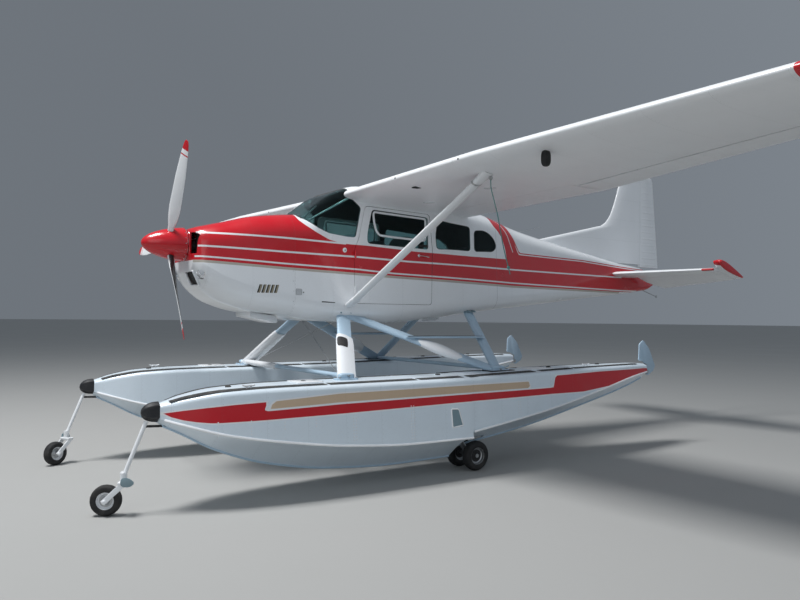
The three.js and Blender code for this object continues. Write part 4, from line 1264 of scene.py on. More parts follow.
    def pane(
        self, name: str, outline: Points, inset: float, side: float, body: Body = Body.AIRFRAME,
        which: str = "", stands_for: Sequence[str] = (),
    ) -> None:
        """A curved pane that fills an outline on one side, a distance under the skin."""
        low, high = outline.min(axis=0) - 0.01, outline.max(axis=0) + 0.01
        item = as_object(name, LINES.side_sheet((low[0], high[0]), (low[1], high[1]), inset, side))
        thicken(item, 0.005, -1.0 if self.faces_out(item, side) else 1.0)
        carve(item, [through(outline)], Cut.KEEP)
        dress(item, self.paint.glass, "clear_glass", body, which, stands_for)

    def glazing(self) -> None:
        """Quarter and rear panes, and the wrapped windshield with its brace tubes."""
        for name, side in SIDES.items():
            self.pane(
                f"quarter_pane_{name}", grown(QUARTER_WINDOW, -0.0005), 0.008, side,
                stands_for=[f"side_glass_{name}"],
            )
            self.pane(f"rear_pane_{name}", grown(REAR_WINDOW, -0.0005), 0.008, side)
        stations = np.linspace(0.05, 0.80, 44)
        item = as_object("windshield_pane", loft(LINES.rings(stations, 0.008)))
        thicken(item, 0.006)
        carve(item, [through(grown(rounded(WINDSHIELD, 0.03), -0.0005))], Cut.KEEP)
        dress(item, self.paint.glass, "clear_glass", replaces=["windshield"])
        braces = [
            rod((0.22, side * 0.03, 2.50), (0.70, side * 0.43, 2.83), 0.011) for side in (PORT, STARBOARD)
        ]
        braces.append(rod((0.22, -0.03, 2.50), (0.22, 0.03, 2.50), 0.011))
        piece("windshield_braces", joined(braces), self.paint.white, "white_paint")
        y = np.linspace(0.02, 0.40, 12)
        x = np.interp(y, [0.0, 0.30, 0.40], [0.066, 0.082, 0.105])
        z = np.interp(y, [0.0, 0.26, 0.36, 0.40], [2.602, 2.601, 2.574, 2.550])
        base = np.stack([x, y, z], 1)
        strips = [tube(base * (1, side, 1), 0.006, 8, up=(0, 0, 1)) for side in (PORT, STARBOARD)]
        piece("windshield_seal", joined(strips), self.paint.black, "cabin_trim")

    def fittings(self) -> None:
        """Static port, belly fin, antennas, tail ring and other small outside pieces."""
        disc = [(0.026, -0.004), (0.026, 0.002), (0.020, 0.004)]
        dots = (
            ([(0.007, 0.0), (0.007, 0.0055), (0.003, 0.006)], (0.546, 0.5345, 2.237), 0.03, 16),
            ([(0.014, -0.006), (0.014, 0.002), (0.008, 0.003)], (2.487, 0.5145, 1.914), -0.03, 18),
            ([(0.006, -0.004), (0.006, 0.002), (0.003, 0.003)], (0.085, 0.5205, 1.790), -0.03, 12),
        )
        discs = [
            turned(disc, (0.546, side * 0.5335, 2.237), (0, side, 0.03), 28) for side in (PORT, STARBOARD)
        ]
        piece("static_ports", joined(discs), self.paint.white, "white_paint")
        dark = [
            turned(profile, (x, side * y, z), (0, side, tilt), sides)
            for profile, (x, y, z), tilt, sides in dots for side in (PORT, STARBOARD)
        ]
        # A flat black plate over the duct's mouth, not sunk into the skin: painted shade for the recess.
        duct = np.array([(0.281, 1.694), (0.428, 1.690), (0.428, 1.697), (0.281, 1.706)])
        for side in (PORT, STARBOARD):
            width = LINES.half_width(duct[:, 0], duct[:, 1])
            dark.append(loft(np.stack([
                np.stack([duct[:, 0], side * (width + out), duct[:, 1]], 1) for out in (0.0012, -0.004)
            ])))
        piece("dark_fittings_and_duct_shade", joined(dark), self.paint.black, "cabin_trim")
        screen = rounded(rectangle(0.006, 1.766, 0.066, 1.823), 0.008)
        bars: list[Shape] = []
        for side in (PORT, STARBOARD):
            bars.append(panel_ring(screen, 0.003, side))
            for height in np.linspace(1.776, 1.813, 5):
                x, z = np.linspace(0.008, 0.064, 3), np.full(3, height)
                bars.append(tube(np.stack([x, side * LINES.half_width(x, z), z], 1), 0.0026, 6))
        piece("vent_screens", joined(bars), self.paint.steel, "bare_steel")
        keel_fin = rounded([(1.857, 1.560), (2.183, 1.600), (2.150, 1.515), (1.935, 1.500)], 0.02)
        piece("belly_fin", slab(keel_fin, -0.006, 0.006), self.paint.white, "white_paint", ease=0.003)
        aerial = round_bar_path((3.42, 0, 2.632), (3.43, 0, 2.662), (3.60, 0, 2.705), (3.852, 0, 2.773))
        whip = tube(aerial, 0.0022, 8, up=(0, 1, 0))
        drain = round_bar_path((1.376, 0, 1.505), (1.385, 0, 1.47), (1.405, 0, 1.434))
        probe = tube(drain, 0.006, 10, up=(0, 1, 0))
        foot = pillow((3.39, -0.012, 2.622), (3.45, 0.012, 2.648), 4.0, 10)
        round_way = np.linspace(0, math.tau, 25)
        ring_path = np.stack(
            [6.306 + 0.016 * np.cos(round_way), 0 * round_way, 1.890 + 0.016 * np.sin(round_way)], 1,
        )
        tie = tube(ring_path, 0.004, 8, up=(0, 1, 0))
        shackle = tube(np.array([(5.93, 0, 1.992), (6.292, 0, 1.893)]), 0.006, 8, up=(0, 1, 0))
        piece("rods_and_rings", joined([whip, probe, foot, tie, shackle]), self.paint.steel, "bare_steel")

    def build(self) -> None:
        """Builds the whole body."""
        self.cabin()
        self.tail()
        self.cowl()
        self.doors()
        self.glazing()
        self.fittings()


# Wing

OPEN_TAIL = 0.1015
CLOSED_TAIL = 0.1036


def fullness(share: np.ndarray, last: float = OPEN_TAIL) -> np.ndarray:
    """The four-digit aerofoil's half thickness at shares of the chord, over five times its depth.

    It is a root and four powers of the share. The last power's factor leaves the tail a little
    open, or closes it.
    """
    return 0.2969 * np.sqrt(share) - 0.126 * share - 0.3516 * share**2 + 0.2843 * share**3 - last * share**4


@dataclass(frozen=True)
class WingLines:
    """The wing's plan, section and hinge lines, drawn to starboard."""

    half_span: float = 5.46
    root: float = 0.47
    turn: float = 2.54
    front: float = 0.563
    height: float = 2.83
    rise: float = 0.0207
    chord: float = 1.626
    tip_chord: float = 1.120
    sweep: float = 0.178
    depth: float = 0.12
    bead_pitch: float = 0.115

    def point(self, y: np.ndarray, share: np.ndarray, height: np.ndarray) -> Points:
        """A point of the wing at a distance out, a share of the chord and a height above it."""
        outer = ((y - self.turn) / (self.half_span - self.turn)).clip(0, None)
        chord = self.chord + (self.tip_chord - self.chord) * outer
        angle = np.radians(4.2 + (2.8 - 4.2) * outer)
        base = self.height + (y - self.root) * self.rise
        x = self.front + self.sweep * outer + chord * (share * np.cos(angle) + height * np.sin(angle))
        z = base + chord * (height * np.cos(angle) - share * np.sin(angle))
        return np.stack(np.broadcast_arrays(x, y, z), -1)

    def faces_of(self, share: np.ndarray, thin: float = 1.0) -> tuple[np.ndarray, np.ndarray]:
        """The upper and lower heights of the section at shares of the chord."""
        half = thin * self.depth * 5 * fullness(share)
        camber = 0.08 * share * (1 - share)
        return camber + half, camber - half

    def section(self, start: float, end: float, steps: int = 44, thin: float = 1.0) -> Points:
        """The closed section between two shares of the chord, from the rear over the top."""
        share = start + (end - start) * (1 - np.cos(np.linspace(0, math.pi, steps))) / 2
        upper, lower = self.faces_of(share, thin)
        first = 1 if start == 0 else 0
        return np.vstack([np.stack([share, upper], 1)[::-1], np.stack([share, lower], 1)[first:]])

    def panel(self, section: Points, y0: float, y1: float, rows: int, bead: float = 0.0) -> Shape:
        """A panel of the wing between two distances out, its skin beaded along the chord.

        A bead is the sixth power of a cosine along the span, as high as bead where it is over
        zero, and fades out towards the panel's front and rear edges.
        """
        y = np.linspace(y0, y1, rows)
        if y0 < self.turn < y1:
            y = np.sort(np.append(y, self.turn))
        share, height = section[:, 0][None, :], section[:, 1][None, :]
        low, high = share.min(), share.max()
        middle = self.faces_of(share)
        side = np.sign(height - (middle[0] + middle[1]) / 2)
        fade = np.clip((share - low) / (high - low), 0, 1)
        fade = np.clip(6 * fade, 0, 1) * np.clip(5 * (1 - fade), 0, 1)
        wave = np.clip(np.cos(math.tau * y[:, None] / self.bead_pitch), 0, 1) ** 6
        return loft(self.point(y[:, None], share, height + side * bead * fade * wave / self.chord))

    def chord_cut(self, share: float, y0: float, y1: float, nose: float = 0.0) -> Shape:
        """What lies behind a share of the chord, its front drawn to a point."""
        corners = np.array([
            (share, 0.0146), (share + nose, -0.02), (share + nose, -0.12), (1.1, -0.12), (1.1, 0.16),
            (share + nose, 0.16), (share + nose, 0.05),
        ])
        y = np.array([y0, y1])[:, None]
        return loft(self.point(y, corners[:, 0][None], corners[:, 1][None]))

    def spot(self, y: float, share: float, height: float) -> Points:
        """One point at a distance out, a share of the chord and a height above it."""
        return self.point(np.array([y]), np.array([share]), np.array([height]))[0]

    def under(self, y: float, share: float) -> Points:
        """A point of the lower skin."""
        return self.spot(y, share, self.faces_of(share)[1])


WING = WingLines()


def teardrop(chord: float, thickness: float, steps: int = 15) -> Points:
    """A streamlined section: across and along, its blunt end ahead."""
    share = (1 - np.cos(np.linspace(0, math.pi, steps))) / 2
    half = 5 * thickness * fullness(share, CLOSED_TAIL)
    along = chord * (share - 0.45)
    return np.vstack([np.stack([half, along], 1), np.stack([-half, along], 1)[-2:0:-1]])


def strut(
    start: Sequence[float], end: Sequence[float], chord: float, thickness: float, steps: int = 2,
) -> Shape:
    """A straight streamlined strut between two points."""
    return swept(np.linspace(start, end, steps), teardrop(chord, thickness), up=(1, 0, 0))


@dataclass
class Wings:
    """Wing panels, flaps, ailerons, wing struts and what is fixed to them."""

    paint: Palette
    flap_span: tuple[float, float] = (0.64, 2.525)
    aileron_span: tuple[float, float] = (2.56, 5.20)
    flap_front: float = 0.73
    aileron_front: float = 0.76
    slot: float = 0.005

    def tip_rings(self) -> Points:
        """The rounded tip's rings: each one is thinner and shorter as a quarter ellipse is."""
        out = 0.110 * np.sin(np.linspace(0, math.pi / 2, 14)[1:])
        rings = []
        for step in out:
            section = self.tip_section(math.sqrt(1 - (step / 0.118) ** 2))
            y = np.array([WING.half_span - 0.110 + step])
            rings.append(WING.point(y, section[:, 0], section[:, 1]))
        return np.array(rings)

    def tip_section(self, shrink: float) -> Points:
        """A section of the tip, drawn in to a share of its full depth."""
        section = WING.section(0, 1, thin=shrink)
        section[:, 0] = 0.175 * (1 - shrink) + section[:, 0] * (1 - 0.35 * (1 - shrink))
        return section

    def panel(self, name: str, side: float) -> None:
        """One wing with its slots for the flap and the aileron."""
        section = WING.section(0, 1)
        y = np.sort(np.append(np.linspace(WING.root, WING.half_span - 0.110, 60), WING.turn))
        rings = WING.point(y[:, None], section[:, 0][None], section[:, 1][None])
        shape = loft(np.concatenate([rings, self.tip_rings()]))
        item = as_object(f"wing_skin_{name}", on_side(shape, side))
        slots = [
            WING.chord_cut(front - 0.004, inner - self.slot, outer + self.slot, nose)
            for front, (inner, outer), nose in (
                (self.flap_front, self.flap_span, 0.0), (self.aileron_front, self.aileron_span, 0.01),
            )
        ]
        carve(item, [on_side(shape, side) for shape in slots])
        carve(item, [loft(LINES.rings(np.linspace(0.2, 2.7, 50), -0.0005))])
        lay_rivets(item, 1)
        dress(item, self.paint.wing, "white_paint", replaces=[f"wing_{name}"])

    def surfaces(self, name: str, side: float) -> None:
        """One flap and one aileron, with beaded skins."""
        flap = WING.panel(WING.section(self.flap_front, 1), *self.flap_span, 132, bead=0.0028)
        item = as_object(f"flap_skin_{name}", on_side(flap, side))
        lay_rivets(item, 1)
        dress(item, self.paint.wing, "white_paint", Body.FLAP, name, [f"flap_{name}"])
        nose = np.vstack([WING.section(self.aileron_front + 0.022, 1), [(self.aileron_front, 0.0146)]])
        aileron = WING.panel(nose, *self.aileron_span, 184, bead=0.0028)
        item = as_object(f"aileron_skin_{name}", on_side(aileron, side))
        lay_rivets(item, 1)
        dress(item, self.paint.wing, "white_paint", Body.AILERON, name, [f"aileron_{name}"])

    def wing_strut(self, name: str, side: float) -> None:
        """The strut with its foot fitting, its cuffs and the tie-down ring."""
        foot, top = np.array((0.590, 0.560, 1.665)), np.array((0.865, 2.424, 2.798))
        way = top - foot
        stay = on_side(strut(foot, top, 0.104, 0.040, 12), side)
        piece(
            f"wing_strut_skin_{name}", stay, self.paint.white, "white_paint",
            replaces=[f"wing_strut_{name}"],
        )
        shares = np.linspace(0.925, 1.0, 10)
        wide = 1 + 0.55 * ((shares - shares[0]) / (shares[-1] - shares[0])) ** 2
        cuff = swept(
            foot + way * shares[:, None], teardrop(0.118, 0.048)[None] * wide[:, None, None], up=(1, 0, 0),
        )
        low = swept(foot + way * np.linspace(0.0, 0.055, 6)[:, None], teardrop(0.120, 0.050), up=(1, 0, 0))
        piece(
            f"wing_strut_cuffs_{name}", on_side(joined([cuff, low]), side), self.paint.white, "white_paint",
        )
        lap = swept(foot + way * np.array([0.918, 0.925])[:, None], teardrop(0.121, 0.051), up=(1, 0, 0))
        fork = [
            rod((0.590, 0.520, 1.645), (0.590, 0.575, 1.672), 0.020),
            rod((0.900, 2.400, 2.735), (0.900, 2.400, 2.790), 0.006),
            tube(np.stack([
                0.900 + 0.018 * np.sin(np.linspace(0, math.tau, 25)), np.full(25, 2.400),
                2.748 - 0.018 * np.cos(np.linspace(0, math.tau, 25)),
            ], 1), 0.004, 8, up=(0, 1, 0)),
        ]
        piece(f"tie_down_ring_{name}", on_side(joined([lap, *fork]), side), self.paint.steel, "bare_steel")

    def fittings(self, name: str, side: float) -> None:
        """Underside covers and vents, the fuel cap and the tip lamp of one wing."""
        vent = WING.under(1.514, 0.127)
        oval = WING.under(3.186, 0.11)
        cover = [(0.060, -0.006), (0.062, 0.0012), (0.052, 0.0024)]
        covers = [turned(cover, WING.under(y, 0.42), (0, 0, -1), 32) for y in (1.05, 2.0)]
        shape = on_side(joined(covers), side)
        piece(f"access_covers_{name}", shape, self.paint.white, "white_paint")
        lip = rounded(rectangle(-0.05, -0.03, 0.05, 0.03), 0.012)
        vent_ring = [(0.008, -0.01), (0.008, 0.002), (0.004, 0.003)]
        dark = [
            slab(lip + vent[:2], vent[2] - 0.003, vent[2] + 0.006, axis=2),
            pillow(oval - (0.036, 0.030, 0.115), oval + (0.036, 0.030, 0.010), 3.0, 14),
            *[turned(vent_ring, WING.spot(y, 0, 0), (-1, 0, 0), 14) for y in (1.434, 2.376)],
        ]
        piece(f"wing_vents_{name}", on_side(joined(dark), side), self.paint.black, "cabin_trim")
        cap = WING.spot(1.30, 0.30, WING.faces_of(0.30)[0])
        lid = [(0.055, -0.01), (0.055, 0.004), (0.030, 0.010), (0.012, 0.012)]
        filler = turned(lid, cap, (0.05, 0, 1), 36)
        piece(f"fuel_cap_{name}", on_side(filler, side), self.paint.steel, "bare_steel")
        tip = WING.spot(WING.half_span - 0.012, 0.28, 0.012)
        bulb = turned([(0.022, -0.03), (0.022, 0.0), (0.018, 0.006), (0.008, 0.010)], tip, (0, 1, 0), 20)
        piece(f"tip_lamp_{name}", on_side(bulb, side), self.paint.lamp, "clear_glass")

    def build(self) -> None:
        """Builds both wings."""
        for name, side in SIDES.items():
            self.panel(name, side)
            self.surfaces(name, side)
            self.wing_strut(name, side)
            self.fittings(name, side)


# Tail


@dataclass
class Tail:
    """Fin, rudder, tailplane and drooped elevator."""

    paint: Palette
    rudder_line: float = 5.905
    hinge: tuple[float, float] = (5.670, 2.188)
    droop: float = 21.0
    nose: float = 0.030
    gap: float = 0.006

    def fin(self) -> None:
        """The fin with its long dorsal root, drawn as level rings with a rounded front."""
        heights = np.concatenate([np.linspace(2.36, 2.88, 26), np.linspace(2.89, 3.665, 60)])
        edge = np.array([
            (3.20, 2.36), (3.740, 2.586), (5.055, 2.880), (5.150, 2.935), (5.228, 3.020),
            (5.290, 3.120), (5.43, 3.46), (5.500, 3.640), (5.62, 3.672),
        ])
        curved = smooth_table(heights.clip(2.88, None), edge[2:, 1], edge[2:, :1])[:, 0]
        front = np.where(heights > 2.86, curved, np.interp(heights, edge[:, 1], edge[:, 0]))
        back = self.rudder_line - 0.024
        share = (1 - np.cos(np.linspace(0, math.pi, 40))) / 2
        rings = []
        for level, lead in zip(heights, front):
            x = lead + (back - lead) * share
            reach = ((x - lead) / 0.24).clip(0, 1)
            cap = math.sqrt(max(0.05, 1 - max(0.0, (level - 3.60) / 0.068) ** 2))
            half = 0.027 * np.sqrt(1 - (1 - reach) ** 2) * cap
            right = np.stack([x, half, np.full_like(x, level)], 1)
            rings.append(np.vstack([right, (right * (1, -1, 1))[::-1][:-1]]))
        item = as_object("fin_skin", loft(np.array(rings)))
        lay_rivets(item, 2)
        dress(item, self.paint.tail, "white_paint", replaces=["fin"])

    def rudder(self) -> None:
        """The rudder, its skin beaded at even heights."""
        heights = np.linspace(2.322, 3.680, 250)
        chord = np.interp(heights, [2.322, 3.620, 3.688], [0.428, 0.296, 0.270])
        nose = np.array([(0.008, -0.016), (0.019, -0.010), (0.0245, 0.0)])
        bead = 0.0035 * np.clip(np.cos(math.tau * (heights - 2.36) / 0.098), 0, 1) ** 8
        rings = []
        for level, reach, lift in zip(heights, chord, bead):
            share = np.linspace(0, 1, 30)[1:]
            half = np.interp(share * reach, [0, 0.11, reach], [0.025, 0.025, 0.004])
            fade = np.clip(8 * share, 0, 1) * np.clip(7 * (1 - share), 0, 1)
            flank = np.stack([half + lift * fade, share * reach], 1)
            right = np.vstack([nose, flank])
            cap = 1 - 0.5 * max(0.0, (level - 3.66) / 0.02) ** 2
            y, x = right[:, 0] * cap, right[:, 1] + self.rudder_line
            ring = np.stack([x, y, np.full_like(x, level)], 1)
            rings.append(np.vstack([ring, (ring * (1, -1, 1))[::-1]]))
        item = as_object("rudder_skin", loft(np.array(rings)))
        lay_rivets(item, 2)
        dress(item, self.paint.tail, "white_paint", Body.RUDDER, replaces=["rudder"])

    def half_tail(self, bead: float = 0.0) -> Shape:
        """Half of the tailplane with its elevator undivided, to starboard."""
        table = np.array([
            (-0.010, 5.120, 6.180, 2.188, 0.088), (0.195, 5.135, 6.190, 2.188, 0.084),
            (1.450, 5.372, 5.985, 2.196, 0.054), (1.545, 5.390, 5.960, 2.198, 0.048),
        ])
        y = np.linspace(-0.010, 1.545, 160)
        start, end, height, depth = (
            np.interp(y, table[:, 0], table[:, column])[:, None] for column in (1, 2, 3, 4)
        )
        share = (1 - np.cos(np.linspace(0, math.pi, 46))) / 2
        half = 5 * depth * fullness(share)
        wave = np.clip(np.cos(math.tau * y[:, None] / 0.105), 0, 1) ** 6
        x = start + (end - start) * share
        behind = np.clip((x - 5.70) / 0.04, 0, 1) * np.clip(7 * (1 - share), 0, 1)
        half = half + bead * wave * behind
        upper = np.stack(np.broadcast_arrays(x, y[:, None], height + half), -1)
        lower = np.stack(np.broadcast_arrays(x, y[:, None], height - half), -1)
        return loft(np.concatenate([upper[:, ::-1], lower[:, 1:]], axis=1))

    def behind(self) -> Shape:
        """What lies behind the elevator's front edge, with a small gap ahead of it."""
        x, z = self.hinge
        front = x - self.nose - self.gap
        outline = [(front, z), (front, z - 0.07), (6.4, z - 0.07), (6.4, z + 0.07), (front, z + 0.07)]
        return slab(outline, -0.1, 1.7)

    def tailplane(self) -> None:
        """The fixed tailplane, on both sides."""
        for name, side in SIDES.items():
            item = as_object(f"tailplane_skin_{name}", on_side(self.half_tail(), side))
            carve(item, [on_side(self.behind(), side)])
            self.tail_plating(item)
            stands_for = ["stabiliser"] if side == PORT else []
            dress(item, self.paint.tailplane, "white_paint", replaces=stands_for)

    def tail_plating(self, item: bpy.types.Object) -> None:
        """Lays the rivet rows along the ribs of a tailplane piece, and the red on its front edge."""
        lay_rivets(item, 1)
        spots = corners_of(item)
        out = np.abs(spots[:, 1])
        edge = 5.372 + 0.19 * (out - 1.45) + 0.030 - STATION_ZERO
        lead = np.minimum(out - 1.40, edge - spots[:, 0])
        mark(item, "lead", np.stack([lead, 0 * out, 0 * out], 1))

    def horn(self) -> Shape:
        """The elevator's thick rounded tip, which reaches ahead of the hinge, to starboard."""
        table = np.array([
            (1.5455, 5.384, 5.962, 2.197, 0.096), (1.610, 5.376, 5.946, 2.198, 0.100),
            (1.640, 5.382, 5.930, 2.198, 0.086), (1.655, 5.392, 5.915, 2.198, 0.060),
        ])
        y = np.linspace(1.5455, 1.655, 16)
        start, end, height, depth = smooth_table(y, table[:, 0], table[:, 1:]).T[..., None]
        turn = np.linspace(0, math.tau, 60, endpoint=False)[None]
        share = (1 - np.cos(turn)) / 2
        thick = 5 * depth * fullness(share)
        x, z = start + (end - start) * share, height + np.sign(np.sin(turn)) * thick
        return loft(np.stack(np.broadcast_arrays(x, y[:, None], z), -1))

    def elevator(self) -> None:
        """The elevator's two halves with their horns, drooped about the hinge, and their shaft."""
        x, z = self.hinge
        turn = math.radians(self.droop)
        for name, side in SIDES.items():
            item = as_object(f"elevator_skin_{name}", on_side(self.half_tail(0.0028), side))
            self.keep_behind(item, side)
            inner = np.array([(5.5, 0.168), (5.9, 0.168), (6.25, 0.300), (6.25, -0.04), (5.5, -0.04)])
            carve(item, [on_side(slab(inner, 1.9, 2.5, axis=2), side)])
            self.tail_plating(item)
            tip = as_object(f"elevator_horn_{name}", on_side(self.horn(), side))
            self.tail_plating(tip)
            stands_for = ["elevator"] if side == PORT else []
            for part, nodes in ((item, stands_for), (tip, [])):
                spots = corners_of(part) + (STATION_ZERO - x, 0, -z)
                turned_x = spots[:, 0] * math.cos(turn) + spots[:, 2] * math.sin(turn)
                turned_z = spots[:, 2] * math.cos(turn) - spots[:, 0] * math.sin(turn)
                placed = np.stack([turned_x + x - STATION_ZERO, spots[:, 1], turned_z + z], 1)
                part.data.vertices.foreach_set("co", placed.ravel())
                part.data.update()
                dress(part, self.paint.tailplane, "white_paint", Body.ELEVATOR, replaces=nodes)
        shaft = rod((x, -0.18, z), (x, 0.18, z), 0.016)
        piece("elevator_shaft", shaft, self.paint.steel, "bare_steel", Body.ELEVATOR)

    def keep_behind(self, item: bpy.types.Object, side: float) -> None:
        """Keeps only what turns with the elevator: the part behind the hinge."""
        x, z = self.hinge
        ahead = np.array([
            (5.0, z - 0.2), (x, z - 0.2), (x, z - 0.07), (x - self.nose, z), (x, z + 0.07), (x, z + 0.2),
            (5.0, z + 0.2),
        ])
        carve(item, [on_side(slab(ahead, -0.2, 1.7), side)])

    def build(self) -> None:
        """Builds the tail."""
        self.fin()
        self.rudder()
        self.tailplane()
        self.elevator()


# Propeller


@dataclass
class Propeller:
    """Spinner and three blades."""

    paint: Palette
    centre: tuple[float, float, float] = (-1.110, 0.0, SHAFT_Z)
    angles: tuple[float, ...] = (30.0, 150.0, 270.0)

    def placed(self, spots: Points, angle: float) -> Points:
        """Points of an upright blade turned about the shaft and moved to the hub."""
        turn = math.radians(angle)
        y = spots[..., 1] * math.cos(turn) - spots[..., 2] * math.sin(turn)
        z = spots[..., 1] * math.sin(turn) + spots[..., 2] * math.cos(turn)
        return np.stack([spots[..., 0], y, z], -1) + self.centre

    def blade(self, number: int, angle: float) -> None:
        """One blade, its section an aerofoil whose flat face looks aft, with painted tip bands."""
        table = np.array([
            (0.100, 0.062, 0.058, 50.0), (0.168, 0.061, 0.056, 46.0), (0.250, 0.098, 0.040, 42.0),
            (0.420, 0.142, 0.022, 30.0), (0.650, 0.148, 0.016, 22.0), (0.880, 0.120, 0.011, 17.0),
            (1.005, 0.082, 0.008, 15.0), (1.036, 0.056, 0.006, 14.2), (1.045, 0.034, 0.005, 14.0),
        ])
        radius = np.concatenate([np.linspace(0.100, 1.0, 80), np.linspace(1.005, 1.045, 12)])
        chord, depth, pitch = smooth_table(radius, table[:, 0], table[:, 1:]).T[..., None]
        turn = np.linspace(0, math.tau, 40, endpoint=False)[None]
        across, deep = np.cos(turn) * chord / 2, np.sin(turn) * depth / 2
        sine, cosine = np.sin(np.radians(pitch)), np.cos(np.radians(pitch))
        height = np.broadcast_to(radius[:, None], across.shape)
        spots = np.stack([deep * cosine - across * sine, across * cosine + deep * sine, height], -1)
        item = as_object(f"blade_skin_{number}", loft(self.placed(spots, angle)))
        where = corners_of(item) + (STATION_ZERO, 0, 0) - self.centre
        turned_back = math.radians(-angle)
        up = where[:, 1] * math.sin(turned_back) + where[:, 2] * math.cos(turned_back)
        side_way = where[:, 1] * math.cos(turned_back) - where[:, 2] * math.sin(turned_back)
        tilt = np.radians(np.interp(up, table[:, 0], table[:, 3]))
        facing = where[:, 0] * np.cos(tilt) + side_way * np.sin(tilt)
        mark(item, "tips", np.stack([facing - 0.0006, up - 0.955, 0.007 - np.abs(up - 0.905)], 1))
        dress(item, self.paint.blade, "blade_paint", Body.PROPELLER, replaces=[f"blade_{number}"])

    def spinner(self) -> None:
        """The pointed spinner with the blades' holes, and its rear plate with screws."""
        base, tip, radius = -0.968, -1.368, 0.165
        share = np.linspace(0, 1, 60) ** 1.5
        share = 1 - share[::-1]
        profile = np.stack([radius * np.sqrt(1 - np.clip(share, 0, 1) ** 1.6), (tip - base) * share], 1)
        profile = profile[np.argsort(profile[:, 1])[::-1]]
        profile[-1, 0] = 0.0004
        shell = turned(profile, (base, 0, self.centre[2]), (1, 0, 0), 96)
        item = as_object("spinner_skin", shell)
        holes = []
        for angle in self.angles:
            ends = self.placed(np.array([(0, 0, 0.09), (0, 0, 0.30)]), angle)
            holes.append(rod(ends[0], ends[1], 0.0325, 24))
        carve(item, [joined(holes)])
        dress(item, self.paint.red, "red_paint", Body.PROPELLER, replaces=["spinner"])
        plate = turned(
            [(0.160, 0.0), (0.1665, 0.001), (0.1665, 0.006), (0.150, 0.008)],
            (base - 0.006, 0, self.centre[2]), (1, 0, 0), 96,
        )
        screws = []
        for turn in np.linspace(0, math.tau, 18, endpoint=False):
            way = np.array([0.0, math.cos(turn), math.sin(turn)])
            spot = np.array([base - 0.018, 0, self.centre[2]]) + 0.1645 * way
            screws.append(turned([(0.005, -0.002), (0.005, 0.001), (0.002, 0.0018)], spot, way, 10))
        piece("spinner_plate", joined([plate, *screws]), self.paint.chrome, "bare_steel", Body.PROPELLER)

    def build(self) -> None:
        """Builds the propeller."""
        self.spinner()
        for number, angle in enumerate(self.angles, 1):
            self.blade(number, angle)


# Floats

FLOAT_Y = 1.205
FLOAT_STEP = 1.400
FRONT_TABLE = np.array([
    # station, deck half, chine half, deck, chine, keel
    (-1.530, 0.060, 0.062, 0.838, 0.730, 0.690),
    (-1.350, 0.150, 0.165, 0.890, 0.674, 0.600),
    (-1.050, 0.245, 0.268, 0.935, 0.590, 0.440),
    (-0.600, 0.312, 0.345, 0.952, 0.510, 0.285),
    (0.000, 0.340, 0.385, 0.956, 0.432, 0.180),
    (0.700, 0.345, 0.392, 0.958, 0.388, 0.140),
    (1.400, 0.345, 0.392, 0.962, 0.384, 0.150),
])
REAR_TABLE = np.array([
    (1.340, 0.345, 0.384, 0.962, 0.430, 0.228),
    (2.400, 0.320, 0.352, 0.982, 0.575, 0.370),
    (3.400, 0.235, 0.262, 0.996, 0.745, 0.570),
    (4.100, 0.150, 0.165, 1.000, 0.868, 0.730),
    (4.420, 0.080, 0.084, 0.985, 0.900, 0.830),
])
RED_SWOOSH = np.array([
    (-1.56, 0.780), (-1.518, 0.782), (-1.373, 0.804), (-1.202, 0.822), (-0.987, 0.840), (-0.717, 0.853),
    (-0.747, 0.777), (-0.07, 0.800), (1.20, 0.812), (2.548, 0.819), (2.575, 0.90), (2.591, 0.944),
    (3.40, 0.956), (4.315, 0.955), (4.60, 0.940), (4.60, 0.88), (4.427, 0.866), (3.80, 0.795),
    (3.048, 0.737), (2.536, 0.742), (1.2, 0.728), (-0.168, 0.705), (-0.474, 0.700), (-0.758, 0.693),
    (-0.951, 0.690), (-1.063, 0.688), (-1.168, 0.688), (-1.272, 0.699), (-1.374, 0.717), (-1.454, 0.741),
    (-1.518, 0.775), (-1.56, 0.779),
])
GOLD_STRIPE = np.array([
    (-0.667, 0.855), (-0.067, 0.891), (1.1, 0.897), (2.186, 0.899), (2.215, 0.822), (1.2, 0.816),
    (-0.07, 0.805), (-0.734, 0.781),
])
RECESS = np.array([(1.139, 0.678), (1.229, 0.673), (1.276, 0.514), (1.147, 0.502)])


